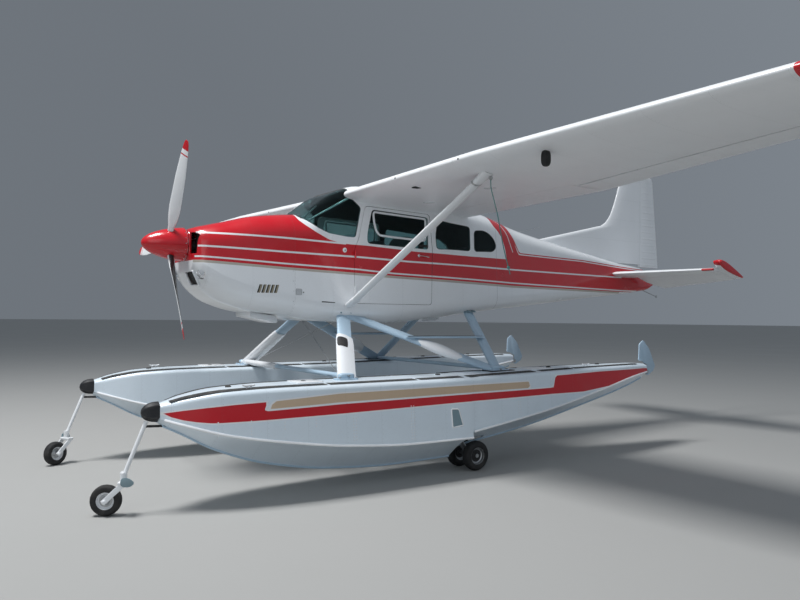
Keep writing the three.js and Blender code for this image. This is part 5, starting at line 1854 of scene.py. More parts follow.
@dataclass(frozen=True)
class HullLines:
    """One of the two overlapping bodies of a float."""

    table: np.ndarray

    def at(self, stations: np.ndarray) -> np.ndarray:
        """Deck half width, chine half width, deck, chine and keel heights."""
        return smooth_table(np.asarray(stations, float), self.table[:, 0], self.table[:, 1:])

    def rings(self, stations: np.ndarray) -> Points:
        """The hull's rings round y = 0.

        Half a ring goes up a hooked bottom, where the height is one less the remaining share of
        the width to the power 1.6, round the chine, up the side, over a rounded deck edge and
        across a cambered deck. The other half is its mirror image.
        """
        deck_half, chine_half, deck, chine, keel = self.at(stations).T[..., None]
        share = np.linspace(0, 1, 16)[None]
        bottom_y = chine_half * share
        bottom_z = keel + (chine - keel) * (1 - (1 - share) ** 1.6)
        climb = np.linspace(0, 1, 14)[None, 1:]
        edge = np.minimum(0.040, 0.35 * deck_half)
        top_y = deck_half + (chine_half - deck_half) * 0.12
        side_y = chine_half + (top_y - chine_half) * climb
        side_z = chine + 0.004 + (deck - edge - chine - 0.004) * climb
        turn = np.linspace(0, math.pi / 2, 9)[None, 1:]
        round_y = top_y - edge + edge * np.cos(turn)
        round_z = deck - edge + edge * np.sin(turn)
        level = np.linspace(1, 0, 12)[None, 1:]
        deck_y = (top_y - edge) * level
        deck_z = deck + 0.014 * (1 - level**2)
        y = np.hstack([bottom_y, side_y, round_y, deck_y])
        z = np.hstack([bottom_z, side_z, round_z, deck_z])
        x = np.broadcast_to(np.asarray(stations, float)[:, None], y.shape)
        right = np.stack([x, y, z], -1)
        return np.concatenate([right, right[:, -2:0:-1] * (1, -1, 1)], axis=1)

    def side(self, station: float, height: float) -> float:
        """How far the flank stands from the float's middle."""
        deck_half, chine_half, deck, chine, _ = self.at(np.array([station]))[0]
        share = min(max((height - chine) / (deck - 0.04 - chine), 0), 1)
        return chine_half + (deck_half + 0.12 * (chine_half - deck_half) - chine_half) * share


FRONT_HULL = HullLines(FRONT_TABLE)
REAR_HULL = HullLines(REAR_TABLE)


def hull_at(station: float) -> HullLines:
    """The hull that a station lies on: ahead of the step or behind it."""
    return FRONT_HULL if station < FLOAT_STEP else REAR_HULL


def deck_at(station: float) -> float:
    """The height of the deck's edge at a station."""
    return hull_at(station).at(np.array([station]))[0][2]


def on_float(shape: Shape, side: float) -> Shape:
    """A shape drawn round a float's own middle with its outboard side positive, put in place."""
    points, faces = shape
    return np.asarray(points, float) * (1, side, 1) + (0, side * FLOAT_Y, 0), faces


@dataclass
class Floats:
    """Hulls, bumpers, deck gear, water rudders, struts, spreaders and wires."""

    paint: Palette

    def hull(self, name: str, side: float) -> None:
        """One float with its step, wheel well and painted flank."""
        front = FRONT_HULL.rings(
            np.concatenate([np.linspace(-1.530, -1.0, 30), np.linspace(-0.97, FLOAT_STEP, 60)])
        )
        rear = REAR_HULL.rings(np.linspace(1.340, 4.420, 90))
        rear[:6] = rear[:6] * (1, 0.985, 1) - (0, 0, 0.004)
        for part, rings, stands_for in (("bow", front, [f"float_{name}"]), ("stern", rear, [])):
            item = as_object(f"hull_{part}_{name}", on_float(loft(rings), side))
            carve(item, [on_float(block((1.450, -0.215, 0.0), (1.830, 0.215, 0.330)), side)])
            spots = corners_of(item) + (STATION_ZERO, -side * FLOAT_Y, 0)
            spots[:, 1] *= side
            outboard = spots[:, 1] > 0.02
            flat = spots[:, [0, 2]]
            away = np.full(len(flat), -1.0)
            values = [
                np.where(outboard, signed_inside(flat, outline), away)
                for outline in (RED_SWOOSH, GOLD_STRIPE)
            ]
            mark(item, "swoosh", np.stack([*values, away], 1))
            deck_half = np.interp(spots[:, 0], FRONT_TABLE[:, 0], FRONT_TABLE[:, 1])
            girth = np.where(np.abs(spots[:, 1]) > 0.85 * deck_half, spots[:, 2], spots[:, 1])
            mark(item, "plating", np.stack([spots[:, 0], girth, 0 * girth], 1))
            dress(item, self.paint.floats, "float_metal", replaces=stands_for)
        # A black plate at the top of the wheel well: painted shade inside the well.
        piece(
            f"well_shade_plate_{name}", on_float(block((1.452, -0.055, 0.330), (1.780, 0.055, 0.334)), side),
            self.paint.black, "float_metal",
        )

    def trims(self, name: str, side: float) -> None:
        """Keel and chine rails of one float."""
        rails: list[Shape] = []
        keels: list[Shape] = []
        for hull, start, end in ((FRONT_HULL, -1.50, 1.395), (REAR_HULL, 1.420, 4.40)):
            stations = np.linspace(start, end, 60)
            _, chine_half, _, chine, keel = hull.at(stations).T
            keels.append(tube(np.stack([stations, 0 * stations, keel - 0.001], 1), 0.011, 8, up=(0, 1, 0)))
            for way in (-1, 1):
                rail = np.stack([stations, way * (chine_half + 0.002), chine + 0.002], 1)
                rails.append(tube(rail, 0.0115, 8))
        piece(f"hull_rails_{name}", on_float(joined(rails), side), self.paint.white, "float_metal")
        piece(f"keel_rails_{name}", on_float(joined(keels), side), self.paint.strut, "float_metal")
        self.flank(name, side)

    def flank(self, name: str, side: float) -> None:
        """Raised rivet rows and the framed recess on the outboard flank, whose inside is a flat dark panel
        painted as the recess's shade.
        """
        rows = [(0.060, 0.478, 0.719), (0.088, 0.478, 0.719), (0.674, 0.436, 0.741), (0.702, 0.436, 0.741)]
        rows += [
            (station, 0.62 - 0.03 * (station < -0.6), 0.70) for station in (-1.12, -0.86, -0.58, -0.30)
        ]
        rows += [(2.02, 0.56, 0.72), (2.05, 0.56, 0.72), (2.72, 0.66, 0.73), (2.75, 0.66, 0.73)]
        head = [(0.0052, -0.001), (0.0052, 0.0008), (0.003, 0.0024)]
        heads = [
            turned(head, (station, hull_at(station).side(station, height), height), (0, 1, 0.1), 10)
            for station, low, high in rows for height in np.arange(low, high, 0.027)
        ]
        piece(f"flank_rivets_{name}", on_float(joined(heads), side), self.paint.white, "float_metal")
        outline = rounded(RECESS, 0.014)
        rim_line = np.array([(x, FRONT_HULL.side(x, z) + 0.001, z) for x, z in outline])
        piece(
            f"recess_frame_{name}", on_float(bead(rim_line, 0.007), side), self.paint.white, "float_metal",
        )
        # The recess is not sunk: a flat slate panel inside its frame is painted shade for its depth.
        plate = np.stack([rim_line + (0, 0.0015, 0), rim_line - (0, 0.006, 0)])
        piece(f"recess_shade_panel_{name}", on_float(loft(plate), side), self.paint.slate, "float_metal")

    def deck(self, name: str, side: float) -> None:
        """Non-skid strips, hatches, pump-out plugs and cleats on the deck."""
        strips = []
        spans = (
            (-1.46, -0.15, 0.045), (-0.12, 0.80, 0.050), (0.84, 1.36, 0.050), (1.44, 2.35, 0.050),
            (2.45, 2.95, 0.040), (3.00, 4.20, 0.028),
        )
        for start, end, half in spans:
            for place in (-0.68, 0.68):
                stations = np.linspace(start, end, 14)
                hull = hull_at(end)
                deck_half, _, deck, _, _ = hull.at(stations).T
                rows = []
                for across in np.linspace(-half, half, 4):
                    y = place * deck_half + across * np.minimum(deck_half / 0.2, 1.0)
                    level = 1 - np.minimum(np.abs(y) / deck_half, 1) ** 2
                    rows.append(np.stack([stations, y, deck + 0.014 * level + 0.0022], 1))
                strips.append(sheet(np.array(rows)))
        item = as_object(f"non_skid_{name}", on_float(joined(strips), side))
        thicken(item, 0.003)
        dress(item, self.paint.tread, "bumper_rubber")
        plug = [(0.026, -0.01), (0.026, 0.006), (0.018, 0.012), (0.006, 0.013)]
        plugs = [
            turned(plug, (station, 0.0, deck_at(station) + 0.014), (0, 0, 1), 20)
            for station in (-0.95, -0.25, 0.20, 1.25, 2.05, 2.80, 3.60)
        ]
        hatch = [
            slab(rounded(rectangle(-0.36, -0.13, -0.10, 0.13), 0.04), 0.966, 0.976, axis=2),
            slab(rounded(rectangle(2.42, -0.13, 2.78, 0.13), 0.04), 0.993, 1.003, axis=2),
        ]
        piece(f"hatches_{name}", on_float(joined(hatch), side), self.paint.white, "float_metal", ease=0.003)
        piece(f"pump_plugs_{name}", on_float(joined(plugs), side), self.paint.black, "bumper_rubber")
        cleats = []
        for station, y in ((-0.84, 0.18), (3.30, 0.10)):
            deck = deck_at(station) + 0.008
            bends = ((-0.055, 0.028), (-0.03, 0.022), (0.03, 0.022), (0.055, 0.028))
            horn = round_bar_path(*[(station + along, y, deck + up) for along, up in bends], steps=14)
            cleats.append(tube(horn, 0.007, 10, up=(0, 1, 0)))
            cleats += [
                rod((station + move, y, deck - 0.006), (station + move, y, deck + 0.024), 0.007)
                for move in (-0.02, 0.02)
            ]
        piece(f"cleats_{name}", on_float(joined(cleats), side), self.paint.white, "bare_steel")

    def bumper(self, name: str, side: float) -> None:
        """The rubber bow bumper: the hull's first ring drawn in to a rounded front."""
        ring = FRONT_HULL.rings(np.array([-1.530]))[0]
        reach = np.sin(np.linspace(0, math.pi / 2, 18))
        rings = []
        for step in reach:
            share = max(0.05, (1 - step**2.4) ** 0.5)
            x = -1.5304 - 0.133 * step
            z = 0.780 + (ring[:, 2] - 0.765) * share
            rings.append(np.stack([np.full(len(ring), x), ring[:, 1] * share, z], 1))
        piece(
            f"bumper_{name}", on_float(loft(np.array(rings)), side), self.paint.bumper, "bumper_rubber",
            replaces=[f"bow_bumper_{name}"],
        )

    def water_gear(self, name: str, side: float) -> None:
        """The raised water rudder, with the hole for its pin."""
        outline = rounded([
            (4.486, 0.872), (4.535, 0.845), (4.640, 0.900), (4.676, 0.960), (4.560, 1.180), (4.446, 1.288),
            (4.372, 1.240), (4.360, 1.036), (4.440, 1.022), (4.486, 0.985),
        ], 0.02)
        item = as_object(f"water_rudder_skin_{name}", on_float(slab(outline, -0.008, 0.008), side))
        carve(item, [on_float(rod((4.505, -0.02, 0.890), (4.505, 0.02, 0.890), 0.0068), side)])
        ease_edges(item, 0.003)
        dress(item, self.paint.strut, "float_metal", Body.WATER_RUDDER, name, [f"water_rudder_{name}"])

    def struts(self, name: str, side: float) -> None:
        """Front strut with its white cuff, diagonal, rear strut, step plank and feet of one side. The
        cuff's white on the front strut's lower part is painted sunlight, against the wing's shadow on the
        blue-grey part above.
        """
        top, foot = np.array((0.560, 0.470, 1.590)), np.array((0.188, 1.205, 0.968))
        rear_foot, rear_top = np.array((2.042, 1.205, 0.985)), np.array((2.240, 0.450, 1.622))
        bars = [
            strut(foot, top, 0.150, 0.046), strut(rear_foot, top, 0.130, 0.044),
            strut(rear_foot, rear_top, 0.134, 0.046),
        ]
        piece(
            f"float_struts_skin_{name}", on_side(joined(bars), side), self.paint.strut, "strut_metal",
            replaces=[f"float_struts_{name}"],
        )
        outline = rounded([(1.128, 1.330), (2.145, 1.322), (2.145, 1.346), (1.128, 1.354)], 0.008)
        points, faces = slab(outline, 0.712, 0.858)
        skew = (points[:, 0] - 1.63) * 0.055
        plank = (points + np.stack([0 * skew, skew, 0 * skew], 1), faces)
        piece(f"step_plank_{name}", on_side(plank, side), self.paint.strut, "strut_metal", ease=0.004)
        grit = slab([(1.14, 1.3535), (2.13, 1.3455), (2.13, 1.3475), (1.14, 1.3555)], 0.718, 0.846)
        piece(f"step_tread_{name}", on_side(grit, side), self.paint.tread, "bumper_rubber")
        # The white cuff covers the front strut's lower part, which is painted sunlight: above it the strut
        # keeps its blue-grey, where the wing's shadow falls.
        shares = np.linspace(0.0, 0.62, 8)
        taper = np.where(shares > 0.57, 0.92, 1.0)
        cuff = swept(
            foot + (top - foot) * shares[:, None], teardrop(0.186, 0.066)[None] * taper[:, None, None],
            up=(1, 0, 0),
        )
        bulge_share = np.linspace(0.235, 0.52, 14)
        swell = 0.75 + 0.45 * np.sin(np.linspace(0, math.pi, 14))
        bulge = swept(
            rear_foot + (top - rear_foot) * bulge_share[:, None],
            teardrop(0.150, 0.060)[None] * swell[:, None, None], up=(1, 0, 0),
        )
        piece(f"strut_cuffs_{name}", on_side(joined([cuff, bulge]), side), self.paint.white, "strut_metal")
        feet = [
            slab(rounded(rectangle(0.078, 1.145, 0.298, 1.265), 0.03), 0.950, 0.984, axis=2),
            slab(rounded(rectangle(1.912, 1.145, 2.172, 1.265), 0.03), 0.968, 1.006, axis=2),
            pillow((1.96, 1.165, 0.985), (2.13, 1.245, 1.045), 3.5, 14),
            pillow((0.11, 1.165, 0.972), (0.27, 1.245, 1.030), 3.5, 14),
        ]
        pad = slab(rounded(rectangle(1.890, 1.120, 2.230, 1.290), 0.03), 0.978, 0.9965, axis=2)
        piece(f"strut_pad_{name}", on_side(pad, side), self.paint.black, "bumper_rubber")
        piece(
            f"strut_feet_{name}", on_side(joined(feet), side), self.paint.strut, "strut_metal", ease=0.004,
        )
        bolts = [rod((x, 1.135, 1.008), (x, 1.275, 1.008), 0.009, 10) for x in (0.188, 2.042)]
        bolts += [turned([(0.012, -0.004), (0.012, 0.004), (0.006, 0.007)], (x, y, 0.992), (0, 0, 1), 6)
                  for x in (0.10, 0.276, 1.935, 2.15) for y in (1.16, 1.25)]
        piece(f"strut_bolts_{name}", on_side(joined(bolts), side), self.paint.steel, "bare_steel")
        self.cuff_window(name, side, foot, top)
        plates = [
            block((0.462, 0.395, 1.586), (0.668, 0.520, 1.600)),
            block((2.165, 0.385, 1.612), (2.320, 0.505, 1.626)),
        ]
        plates += [
            rod((x, 0.44, z), (x, 0.545, z - 0.02), 0.009, 10)
            for x, z in ((0.505, 1.612), (0.620, 1.612), (2.205, 1.640), (2.285, 1.640))
        ]
        piece(f"strut_brackets_{name}", on_side(joined(plates), side), self.paint.slate, "bare_steel")

    def cuff_window(self, name: str, side: float, foot: Points, top: Points) -> None:
        """The dark rounded window laid on the outboard face of the front strut's cuff.

        Its height falls off towards both ends as a circle of the sixth power does, and it stands
        just over the cuff's streamlined section.
        """
        along = (top - foot) / np.linalg.norm(top - foot)
        inward = np.cross((1.0, 0.0, 0.0), along)
        inward /= np.linalg.norm(inward)
        over = np.cross(along, inward)
        chord = np.linspace(-0.077, 0.030, 22)[:, None]
        share = chord / 0.186 + 0.45
        thick = 5 * 0.066 * fullness(share, CLOSED_TAIL)
        reach = 0.070 * (1 - np.abs((chord + 0.0235) / 0.0537).clip(0, 1) ** 6) ** (1 / 6)
        height = reach * np.linspace(-1, 1, 9)[None, :]
        spot = foot + (top - foot) * 0.50
        points = spot + over * chord[..., None] + along * height[..., None] - inward * (
            thick[..., None] + 0.0012
        )
        item = as_object(f"cuff_window_{name}", on_side(sheet(points), side))
        thicken(item, 0.002, 0.0)
        dress(item, self.paint.black, "cabin_trim")

    def spreaders(self) -> None:
        """The two spreader bars, the front one with its white fairing, and the brace wires."""
        for node, x, z, chord in (
            ("spreader_front", 0.188, 1.003, 0.110), ("spreader_rear", 2.042, 1.012, 0.090),
        ):
            piece(
                f"{node}_bar", strut((x, -1.1435, z), (x, 1.1435, z), chord, 0.044), self.paint.strut,
                "strut_metal", replaces=[node],
            )
        fairing = strut((0.188, 0.26, 1.003), (0.188, 1.10, 1.003), 0.150, 0.064)
        piece("spreader_fairing", fairing, self.paint.white, "strut_metal")
        for node, way in (("brace_wire_1", 1), ("brace_wire_2", -1)):
            start = np.array((0.188 - way * 0.012, -way * 1.09, 1.000))
            end = np.array((0.540 - way * 0.012, way * 0.41, 1.520))
            wire = [rod(start, end, 0.0042, 8)]
            for share in (0.03, 0.95):
                spot = start + (end - start) * share
                wire.append(rod(spot - (end - start) * 0.022, spot + (end - start) * 0.022, 0.010, 8))
            piece(f"{node}_rod", joined(wire), self.paint.steel, "bare_steel", replaces=[node])

    def build(self) -> None:
        """Builds both floats and what holds them."""
        for name, side in SIDES.items():
            self.hull(name, side)
            self.trims(name, side)
            self.deck(name, side)
            self.bumper(name, side)
            self.water_gear(name, side)
            self.struts(name, side)
        self.spreaders()


# Gear


def tyre(
    centre: Sequence[float], axis: Sequence[float], radius: float, width: float, grooves: int = 5,
) -> Shape:
    """A tyre: a flattened ring with grooves round its tread, open at the hub."""
    turn = np.linspace(-0.70 * math.pi, 0.70 * math.pi, 90)
    deep = radius * 0.26
    across = np.sign(np.sin(turn)) * np.abs(np.sin(turn)) ** 0.75 * width / 2
    reach = radius - deep + np.sign(np.cos(turn)) * np.abs(np.cos(turn)) ** 0.75 * deep
    tread = np.abs(turn) < 0.42 * math.pi
    groove = np.clip(np.cos(math.tau * across * grooves / width), 0, 1) ** 10
    reach = np.where(tread, reach - 0.0028 * groove, reach)
    profile = np.stack([reach, across], 1)
    loop = np.vstack([profile, profile[-1:] * (0.98, 0.92), profile[:1] * (0.98, 0.92), profile[:1]])
    return turned(loop, centre, axis, 72, capped=False)


def rim(centre: Sequence[float], axis: Sequence[float], radius: float, width: float) -> Shape:
    """A wheel's disc with its flange, dished on both sides."""
    profile = np.array([
        (0.10, 0.52), (0.20, 0.54), (0.24, 0.40), (0.30, 0.22), (0.44, 0.20), (0.50, 0.34), (0.545, 0.80),
        (0.585, 0.87), (0.595, 0.80), (0.58, 0.2),
    ]) * (radius, width / 2)
    return turned(np.vstack([profile, profile[::-1] * (1, -1)]), centre, axis, 64)


def hub_caps(centre: Sequence[float], radius: float, width: float) -> list[Shape]:
    """The two dished caps in a wheel's middle, one on each side."""
    profile = np.array([(0.42, 0.23), (0.30, 0.28), (0.21, 0.555), (0.12, 0.57)]) * (radius, width / 2)
    return [turned(profile, centre, (0, way, 0), 28) for way in (-1, 1)]


@dataclass
class Gear:
    """Nose legs, castering forks and wheels, and the main wheels with their legs."""

    paint: Palette
    swivel: tuple[float, float] = (-1.785, 1.200)
    nose_wheel: tuple[float, float] = (-1.898, 1.142)
    nose_radius: float = 0.119
    nose_width: float = 0.084
    main_radius: float = 0.150
    main_width: float = 0.092
    main_station: float = 1.640
    track: float = 0.130

    def caster(self, shape: Shape) -> Shape:
        """A shape drawn round the swivel with the wheel straight ahead, turned inboard.

        It is drawn for the starboard side, so the turn carries the wheel towards the middle.
        """
        turn = math.atan2(self.swivel[1] - self.nose_wheel[1], self.nose_wheel[0] * -1 + self.swivel[0])
        points, faces = shape
        x = points[:, 0] * math.cos(turn) - points[:, 1] * math.sin(turn)
        y = points[:, 0] * math.sin(turn) + points[:, 1] * math.cos(turn)
        return np.stack([x + self.swivel[0], y + self.swivel[1], points[:, 2]], 1), faces

    def nose(self, name: str, side: float) -> None:
        """One nose leg, fork and wheel."""
        trail = math.hypot(self.swivel[1] - self.nose_wheel[1], self.nose_wheel[0] - self.swivel[0])
        radius, half = self.nose_radius, self.nose_width / 2
        centre = (-trail, 0.0, radius)

        def place(shape: Shape) -> Shape:
            """The shape turned with the caster and put on its side."""
            return on_side(self.caster(shape), side)

        rubber = tyre(centre, (0, 1, 0), radius, self.nose_width, 4)
        piece(
            f"nose_tyre_{name}", place(rubber), self.paint.tyre, "tyre_rubber", Body.NOSE_WHEEL, name,
            [f"nose_wheel_{name}"],
        )
        piece(
            f"nose_rim_{name}", place(rim(centre, (0, 1, 0), radius, self.nose_width)), self.paint.white,
            "bare_steel", Body.NOSE_WHEEL, name,
        )
        piece(
            f"nose_hub_{name}", place(joined(hub_caps(centre, radius, self.nose_width))), self.paint.steel,
            "bare_steel", Body.NOSE_WHEEL, name,
        )
        arms = []
        nut = [(0.020, 0.0), (0.020, 0.006), (0.012, 0.012), (0.006, 0.013)]
        for way in (-1, 1):
            y = way * (half + 0.014)
            path = np.linspace((-trail - 0.012, y, radius - 0.010), (0.012, y, 0.252), 6)
            arms.append(swept(path, rounded(rectangle(-0.021, -0.006, 0.021, 0.006), 0.004), up=(0, 1, 0)))
            arms.append(rod((-trail, way * (half + 0.024), radius), (-trail, way * 0.024, radius), 0.0105))
            arms.append(turned(nut, (-trail, way * (half + 0.020), radius), (0, way, 0), 6))
        arms.append(pillow((-0.034, -half - 0.022, 0.240), (0.044, half + 0.022, 0.2678), 6.0, 16))
        piece(
            f"nose_fork_skin_{name}", place(joined(arms)), self.paint.white, "bare_steel", Body.NOSE_FORK,
            name, [f"nose_fork_{name}"],
        )
        corners = [(-0.008, 0.236), (0.060, 0.226), (0.106, 0.262), (0.052, 0.306), (-0.006, 0.300)]
        guard = slab(rounded(corners, 0.035), half + 0.024, half + 0.029)
        piece(
            f"fork_plate_{name}", place(guard), self.paint.slate, "bare_steel", Body.NOSE_FORK, name,
            ease=0.002,
        )
        sx, sy = self.swivel
        leg = joined([
            rod((sx, sy, 0.300), (-1.620, FLOAT_Y, 0.716), 0.0165, 24),
            rod((sx, sy, 0.2686), (sx, sy, 0.330), 0.027, 24),
            rod((sx, sy - 0.036, 0.322), (sx, sy + 0.036, 0.322), 0.014),
        ])
        piece(
            f"nose_leg_skin_{name}", on_side(leg, side), self.paint.white, "white_paint",
            replaces=[f"nose_leg_{name}"],
        )
        arm = rod((-1.640, FLOAT_Y, 0.676), (-1.455, FLOAT_Y, 0.668), 0.010, 16)
        piece(f"nose_arm_{name}", on_side(arm, side), self.paint.black, "bare_steel")

    def main(self, name: str, side: float) -> None:
        """One float's two main wheels, axle and leg."""
        rubbers, discs, hub_shade = [], [], []
        for way in (-1, 1):
            centre = (self.main_station, FLOAT_Y + way * self.track, self.main_radius)
            rubbers.append(tyre(centre, (0, 1, 0), self.main_radius, self.main_width))
            discs.append(rim(centre, (0, 1, 0), self.main_radius, self.main_width))
            hub_shade += hub_caps(centre, self.main_radius, self.main_width)
        piece(
            f"main_tyres_{name}", on_side(joined(rubbers), side), self.paint.tyre, "tyre_rubber",
            Body.MAIN_WHEELS, name, [f"main_wheels_{name}"],
        )
        reach = self.track + 0.03
        ends = [
            rod(*((self.main_station, FLOAT_Y + way * reach, self.main_radius) for way in (-1, 1)), 0.020)
        ]
        # The rims are worn steel rather than bright plate and the hub caps black, unlike the nose wheels:
        # both are darkened as painted shade on the main wheels.
        piece(
            f"main_rims_{name}", on_side(joined([*discs, *ends]), side), self.paint.steel, "bare_steel",
            Body.MAIN_WHEELS, name,
        )
        # Black hub caps: painted shade on the main wheels.
        piece(
            f"main_hub_shade_{name}", on_side(joined(hub_shade), side), self.paint.black, "bare_steel",
            Body.MAIN_WHEELS, name,
        )
        height = self.main_radius
        collar = rectangle(0.0215, -0.030, 0.044, 0.030)
        legs = [
            turned(collar, (self.main_station, FLOAT_Y, height), (0, 1, 0), 36),
            rod((self.main_station - 0.02, FLOAT_Y, height + 0.036), (1.510, FLOAT_Y, 0.335), 0.028, 24),
            rod((1.560, FLOAT_Y - 0.02, height + 0.10), (1.470, FLOAT_Y - 0.02, 0.300), 0.012, 14),
        ]
        piece(
            f"main_leg_skin_{name}", on_side(joined(legs), side), self.paint.steel, "bare_steel",
            replaces=[f"main_leg_{name}"],
        )

    def build(self) -> None:
        """Builds the gear of both floats."""
        for name, side in SIDES.items():
            self.nose(name, side)
            self.main(name, side)


# Cabin


@dataclass
class Cabin:
    """Seats, bench and instrument panel."""

    paint: Palette

    def cushion(
        self, name: str, low: Sequence[float], high: Sequence[float], lean: float,
        stands_for: Sequence[str] = (),
    ) -> None:
        """A padded cushion, leaning aft by a share of its height."""
        points, faces = pillow(low, high, 5.5, 26)
        middle = (np.asarray(low) + np.asarray(high)) / 2
        crown = 0.010 * np.cos((points[:, 1] - middle[1]) / (high[1] - low[1]) * math.pi)
        points = points + np.stack([lean * (points[:, 2] - low[2]), 0 * crown, crown], 1)
        item = piece(name, (points, faces), self.paint.cloth, "seat_fabric", replaces=stands_for)

    def front_seats(self) -> None:
        """The two front seats."""
        for name, side in SIDES.items():
            y0, y1 = sorted((side * 0.07, side * 0.49))
            self.cushion(
                f"front_pan_{name}", (0.88, y0, 1.802), (1.30, y1, 1.905), 0.0, [f"front_seat_{name}"],
            )
            self.cushion(f"front_back_{name}", (1.262, y0, 1.892), (1.346, y1, 2.440), 0.215)
            base = block((0.99, y0 + 0.06, 1.545), (1.23, y1 - 0.06, 1.800))
            piece(f"seat_base_{name}", base, self.paint.trim, "cabin_trim", ease=0.01)

    def rear_seat(self) -> None:
        """The rear bench with its two backs."""
        self.cushion("bench_pan", (1.90, -0.43, 1.864), (2.28, 0.43, 1.978), 0.0, ["rear_bench"])
        self.cushion("bench_back_left", (2.244, -0.43, 1.965), (2.310, -0.004, 2.385), 0.26)
        self.cushion("bench_back_right", (2.244, 0.004, 1.965), (2.310, 0.43, 2.385), 0.26)
        piece(
            "bench_base", block((1.97, -0.36, 1.60), (2.23, 0.36, 1.862)), self.paint.trim, "cabin_trim",
            ease=0.01,
        )

    def panel(self) -> None:
        """The dials with their bezels on the board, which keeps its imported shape."""
        bezel = [(0.034, -0.002), (0.034, 0.004), (0.029, 0.005), (0.027, 0.002)]
        dials = [
            turned(bezel, (0.271, y, z), (1, 0, 0), 28)
            for y in np.linspace(-0.36, -0.08, 4) for z in (2.21, 2.31)
        ]
        piece("dials", joined(dials), self.paint.black, "cabin_trim")

    def build(self) -> None:
        """Builds the cabin's furniture."""
        self.front_seats()
        self.rear_seat()
        self.panel()


# Cord


@dataclass
class TieRope:
    """The tie-down rope that hangs from the ring under the port wing strut's top."""

    paint: Palette
    diameter: float = 0.009
    start: tuple[float, float, float] = (-1.260, -2.400, 2.732)

    def path(self) -> Points:
        """The rope's centreline, from the ring to its knot."""
        turns = np.array([
            (0, 0, 0), (4, 0, -60), (36, -2, -170), (76, -4, -295), (106, -6, -420), (134, -8, -540),
            (166, -10, -650), (196, -12, -740), (216, -13, -800),
        ]) / 1000
        reach = np.concatenate([[0], np.cumsum(np.linalg.norm(np.diff(turns, axis=0), axis=1))])
        return smooth_table(np.linspace(0, reach[-1], 36), reach, turns) + self.start

    def build(self) -> None:
        path = self.path()
        length = float(np.linalg.norm(np.diff(path, axis=0), axis=1).sum())
        fine = smooth_table(np.linspace(0, 1, 260), np.linspace(0, 1, len(path)), path)
        turn = np.linspace(0, math.tau, 30, endpoint=False)[None]
        twist = np.linspace(0, math.tau * length / 0.034, 260)[:, None]
        reach = self.diameter / 2 * (0.90 + 0.10 * np.cos(3 * (turn - twist)))
        profile = np.stack([reach * np.cos(turn), reach * np.sin(turn)], -1)
        item = piece(
            "tie_down_rope", swept(fine, profile, up=(0, 1, 0)), self.paint.rope, "rope_fibre",
            replaces=["tie_rope"], origin=0,
        )
        middle, half = np.array(self.start) + (0.196, -0.012, -0.742), (0.013, 0.013, 0.014)
        knot = piece(
            "rope_knot", pillow(middle - half, middle + half, 2.4, 18), self.paint.rope, "rope_fibre",
            origin=0,
        )


# Picture


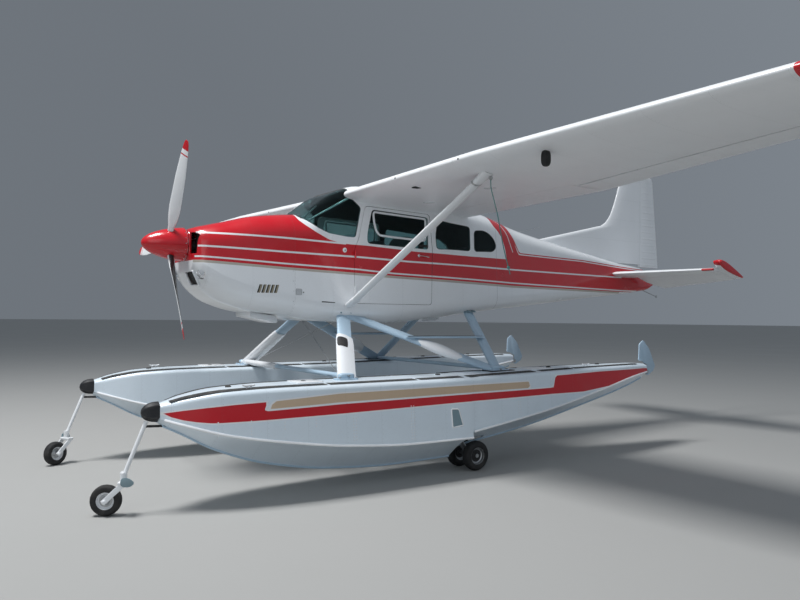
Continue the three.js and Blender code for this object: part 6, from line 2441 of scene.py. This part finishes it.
@dataclass(frozen=True)
class Picture:
    """Camera, soft light and floor."""

    place: tuple[float, float, float] = (-5.3967, -7.1792, 1.5679)
    heading: float = 33.947
    pitch: float = 1.1995
    roll: float = 0.5013
    lens: float = 33.294

    def camera(self) -> None:
        """The photograph's camera: its axes are the columns right, up and back."""
        heading, pitch, roll = (math.radians(angle) for angle in (self.heading, self.pitch, self.roll))
        across, along = math.sin(heading), math.cos(heading)
        ahead = np.array([across * math.cos(pitch), along * math.cos(pitch), math.sin(pitch)])
        level = np.array([math.cos(heading), -math.sin(heading), 0.0])
        over = np.cross(level, ahead)
        right = math.cos(roll) * level + math.sin(roll) * over
        up = -math.sin(roll) * level + math.cos(roll) * over
        data = bpy.data.cameras.new("camera")
        data.sensor_fit, data.sensor_width, data.lens = "HORIZONTAL", 36.0, self.lens
        data.clip_start, data.clip_end = 0.05, 400.0
        bpy.context.scene.camera = self.stand("camera", data, (right, up, -ahead, np.asarray(self.place)))

    def stand(self, name: str, data: bpy.types.ID, columns: tuple[Points, ...]) -> bpy.types.Object:
        """A camera or a lamp whose axes and place are the columns right, up, back and place."""
        rows = np.eye(4)
        rows[:3, :4] = np.stack(columns, 1)
        item = bpy.data.objects.new(name, data)
        item.matrix_world = Matrix(rows.tolist())
        bpy.context.scene.collection.objects.link(item)
        return item

    def light(self) -> None:
        """A pale blue sky, brighter on the camera's side, a large soft lamp high above and a weak fill."""
        world = bpy.data.worlds.new("sky")
        world.use_nodes = True
        graph = Graph(world.node_tree)
        across = graph.part(graph.add("TexCoord").outputs["Generated"], 1)
        strength = graph.ramp(across, -1.0, 0.9, 0.44, 0.20)
        background = graph.add("Background", {"Color": (0.78, 0.88, 1.0, 1), "Strength": strength})
        graph.add("OutputWorld", {"Surface": background.outputs[0]})
        bpy.context.scene.world = world
        bpy.context.scene.view_settings.view_transform = "Standard"
        for name, spot, aim, size, power in (
            ("key", (-7.5, 0.5, 15.0), (0, 0, 1.5), 4.0, 2650.0),
            ("fill", (-12.0, -11.0, 7.0), (1, 0, 1.5), 9.0, 190.0),
        ):
            data = bpy.data.lights.new(name, "AREA")
            data.size, data.energy = size, power
            back = np.subtract(spot, aim) / np.linalg.norm(np.subtract(spot, aim))
            right = np.cross((0, 0, 1), back)
            right /= np.linalg.norm(right)
            self.stand(name, data, (right, np.cross(back, right), back, np.asarray(spot)))

    def floor(self) -> None:
        """A plain pale floor that reaches far past the aircraft on every side."""
        reach = np.array([0.01, 20.0, 180.0])
        ring = circle(1.0, 96)
        points = np.insert(reach[:, None, None] * ring, 2, -0.001, axis=2)
        rows, columns = points.shape[:2]
        mesh = bpy.data.meshes.new("floor")
        mesh.from_pydata(
            points.reshape(-1, 3).tolist(), [], [*grid_faces(rows, columns, True), tuple(range(columns))],
        )
        mesh.materials.append(
            Finish("pale_floor", (0.37, 0.37, 0.36), roughness=0.9, grime=0.03, scale=0.4, bump=0.0).make()
        )
        mesh.shade_smooth()
        item = bpy.data.objects.new("floor", mesh)
        bpy.context.scene.collection.objects.link(item)


def keep_nodes(paint: Palette) -> None:
    """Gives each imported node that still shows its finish."""
    finishes = {"instrument_panel": paint.trim, **{f"water_post_{name}": paint.steel for name in SIDES}}
    for node, finish in finishes.items():
        frame["nodes"][node].data.materials.clear()
        frame["nodes"][node].data.materials.append(finish)


def main() -> None:
    """Builds the whole aircraft round its frame."""
    logging.basicConfig(level=logging.INFO, format="%(message)s")
    picture = Picture()
    picture.camera()
    picture.light()
    picture.floor()
    paint = Palette()
    for section in (
        TieRope(paint), Fuselage(paint), Wings(paint), Tail(paint), Propeller(paint), Floats(paint),
        Gear(paint), Cabin(paint),
    ):
        section.build()
    keep_nodes(paint)


if __name__ == "__main__":
    main()
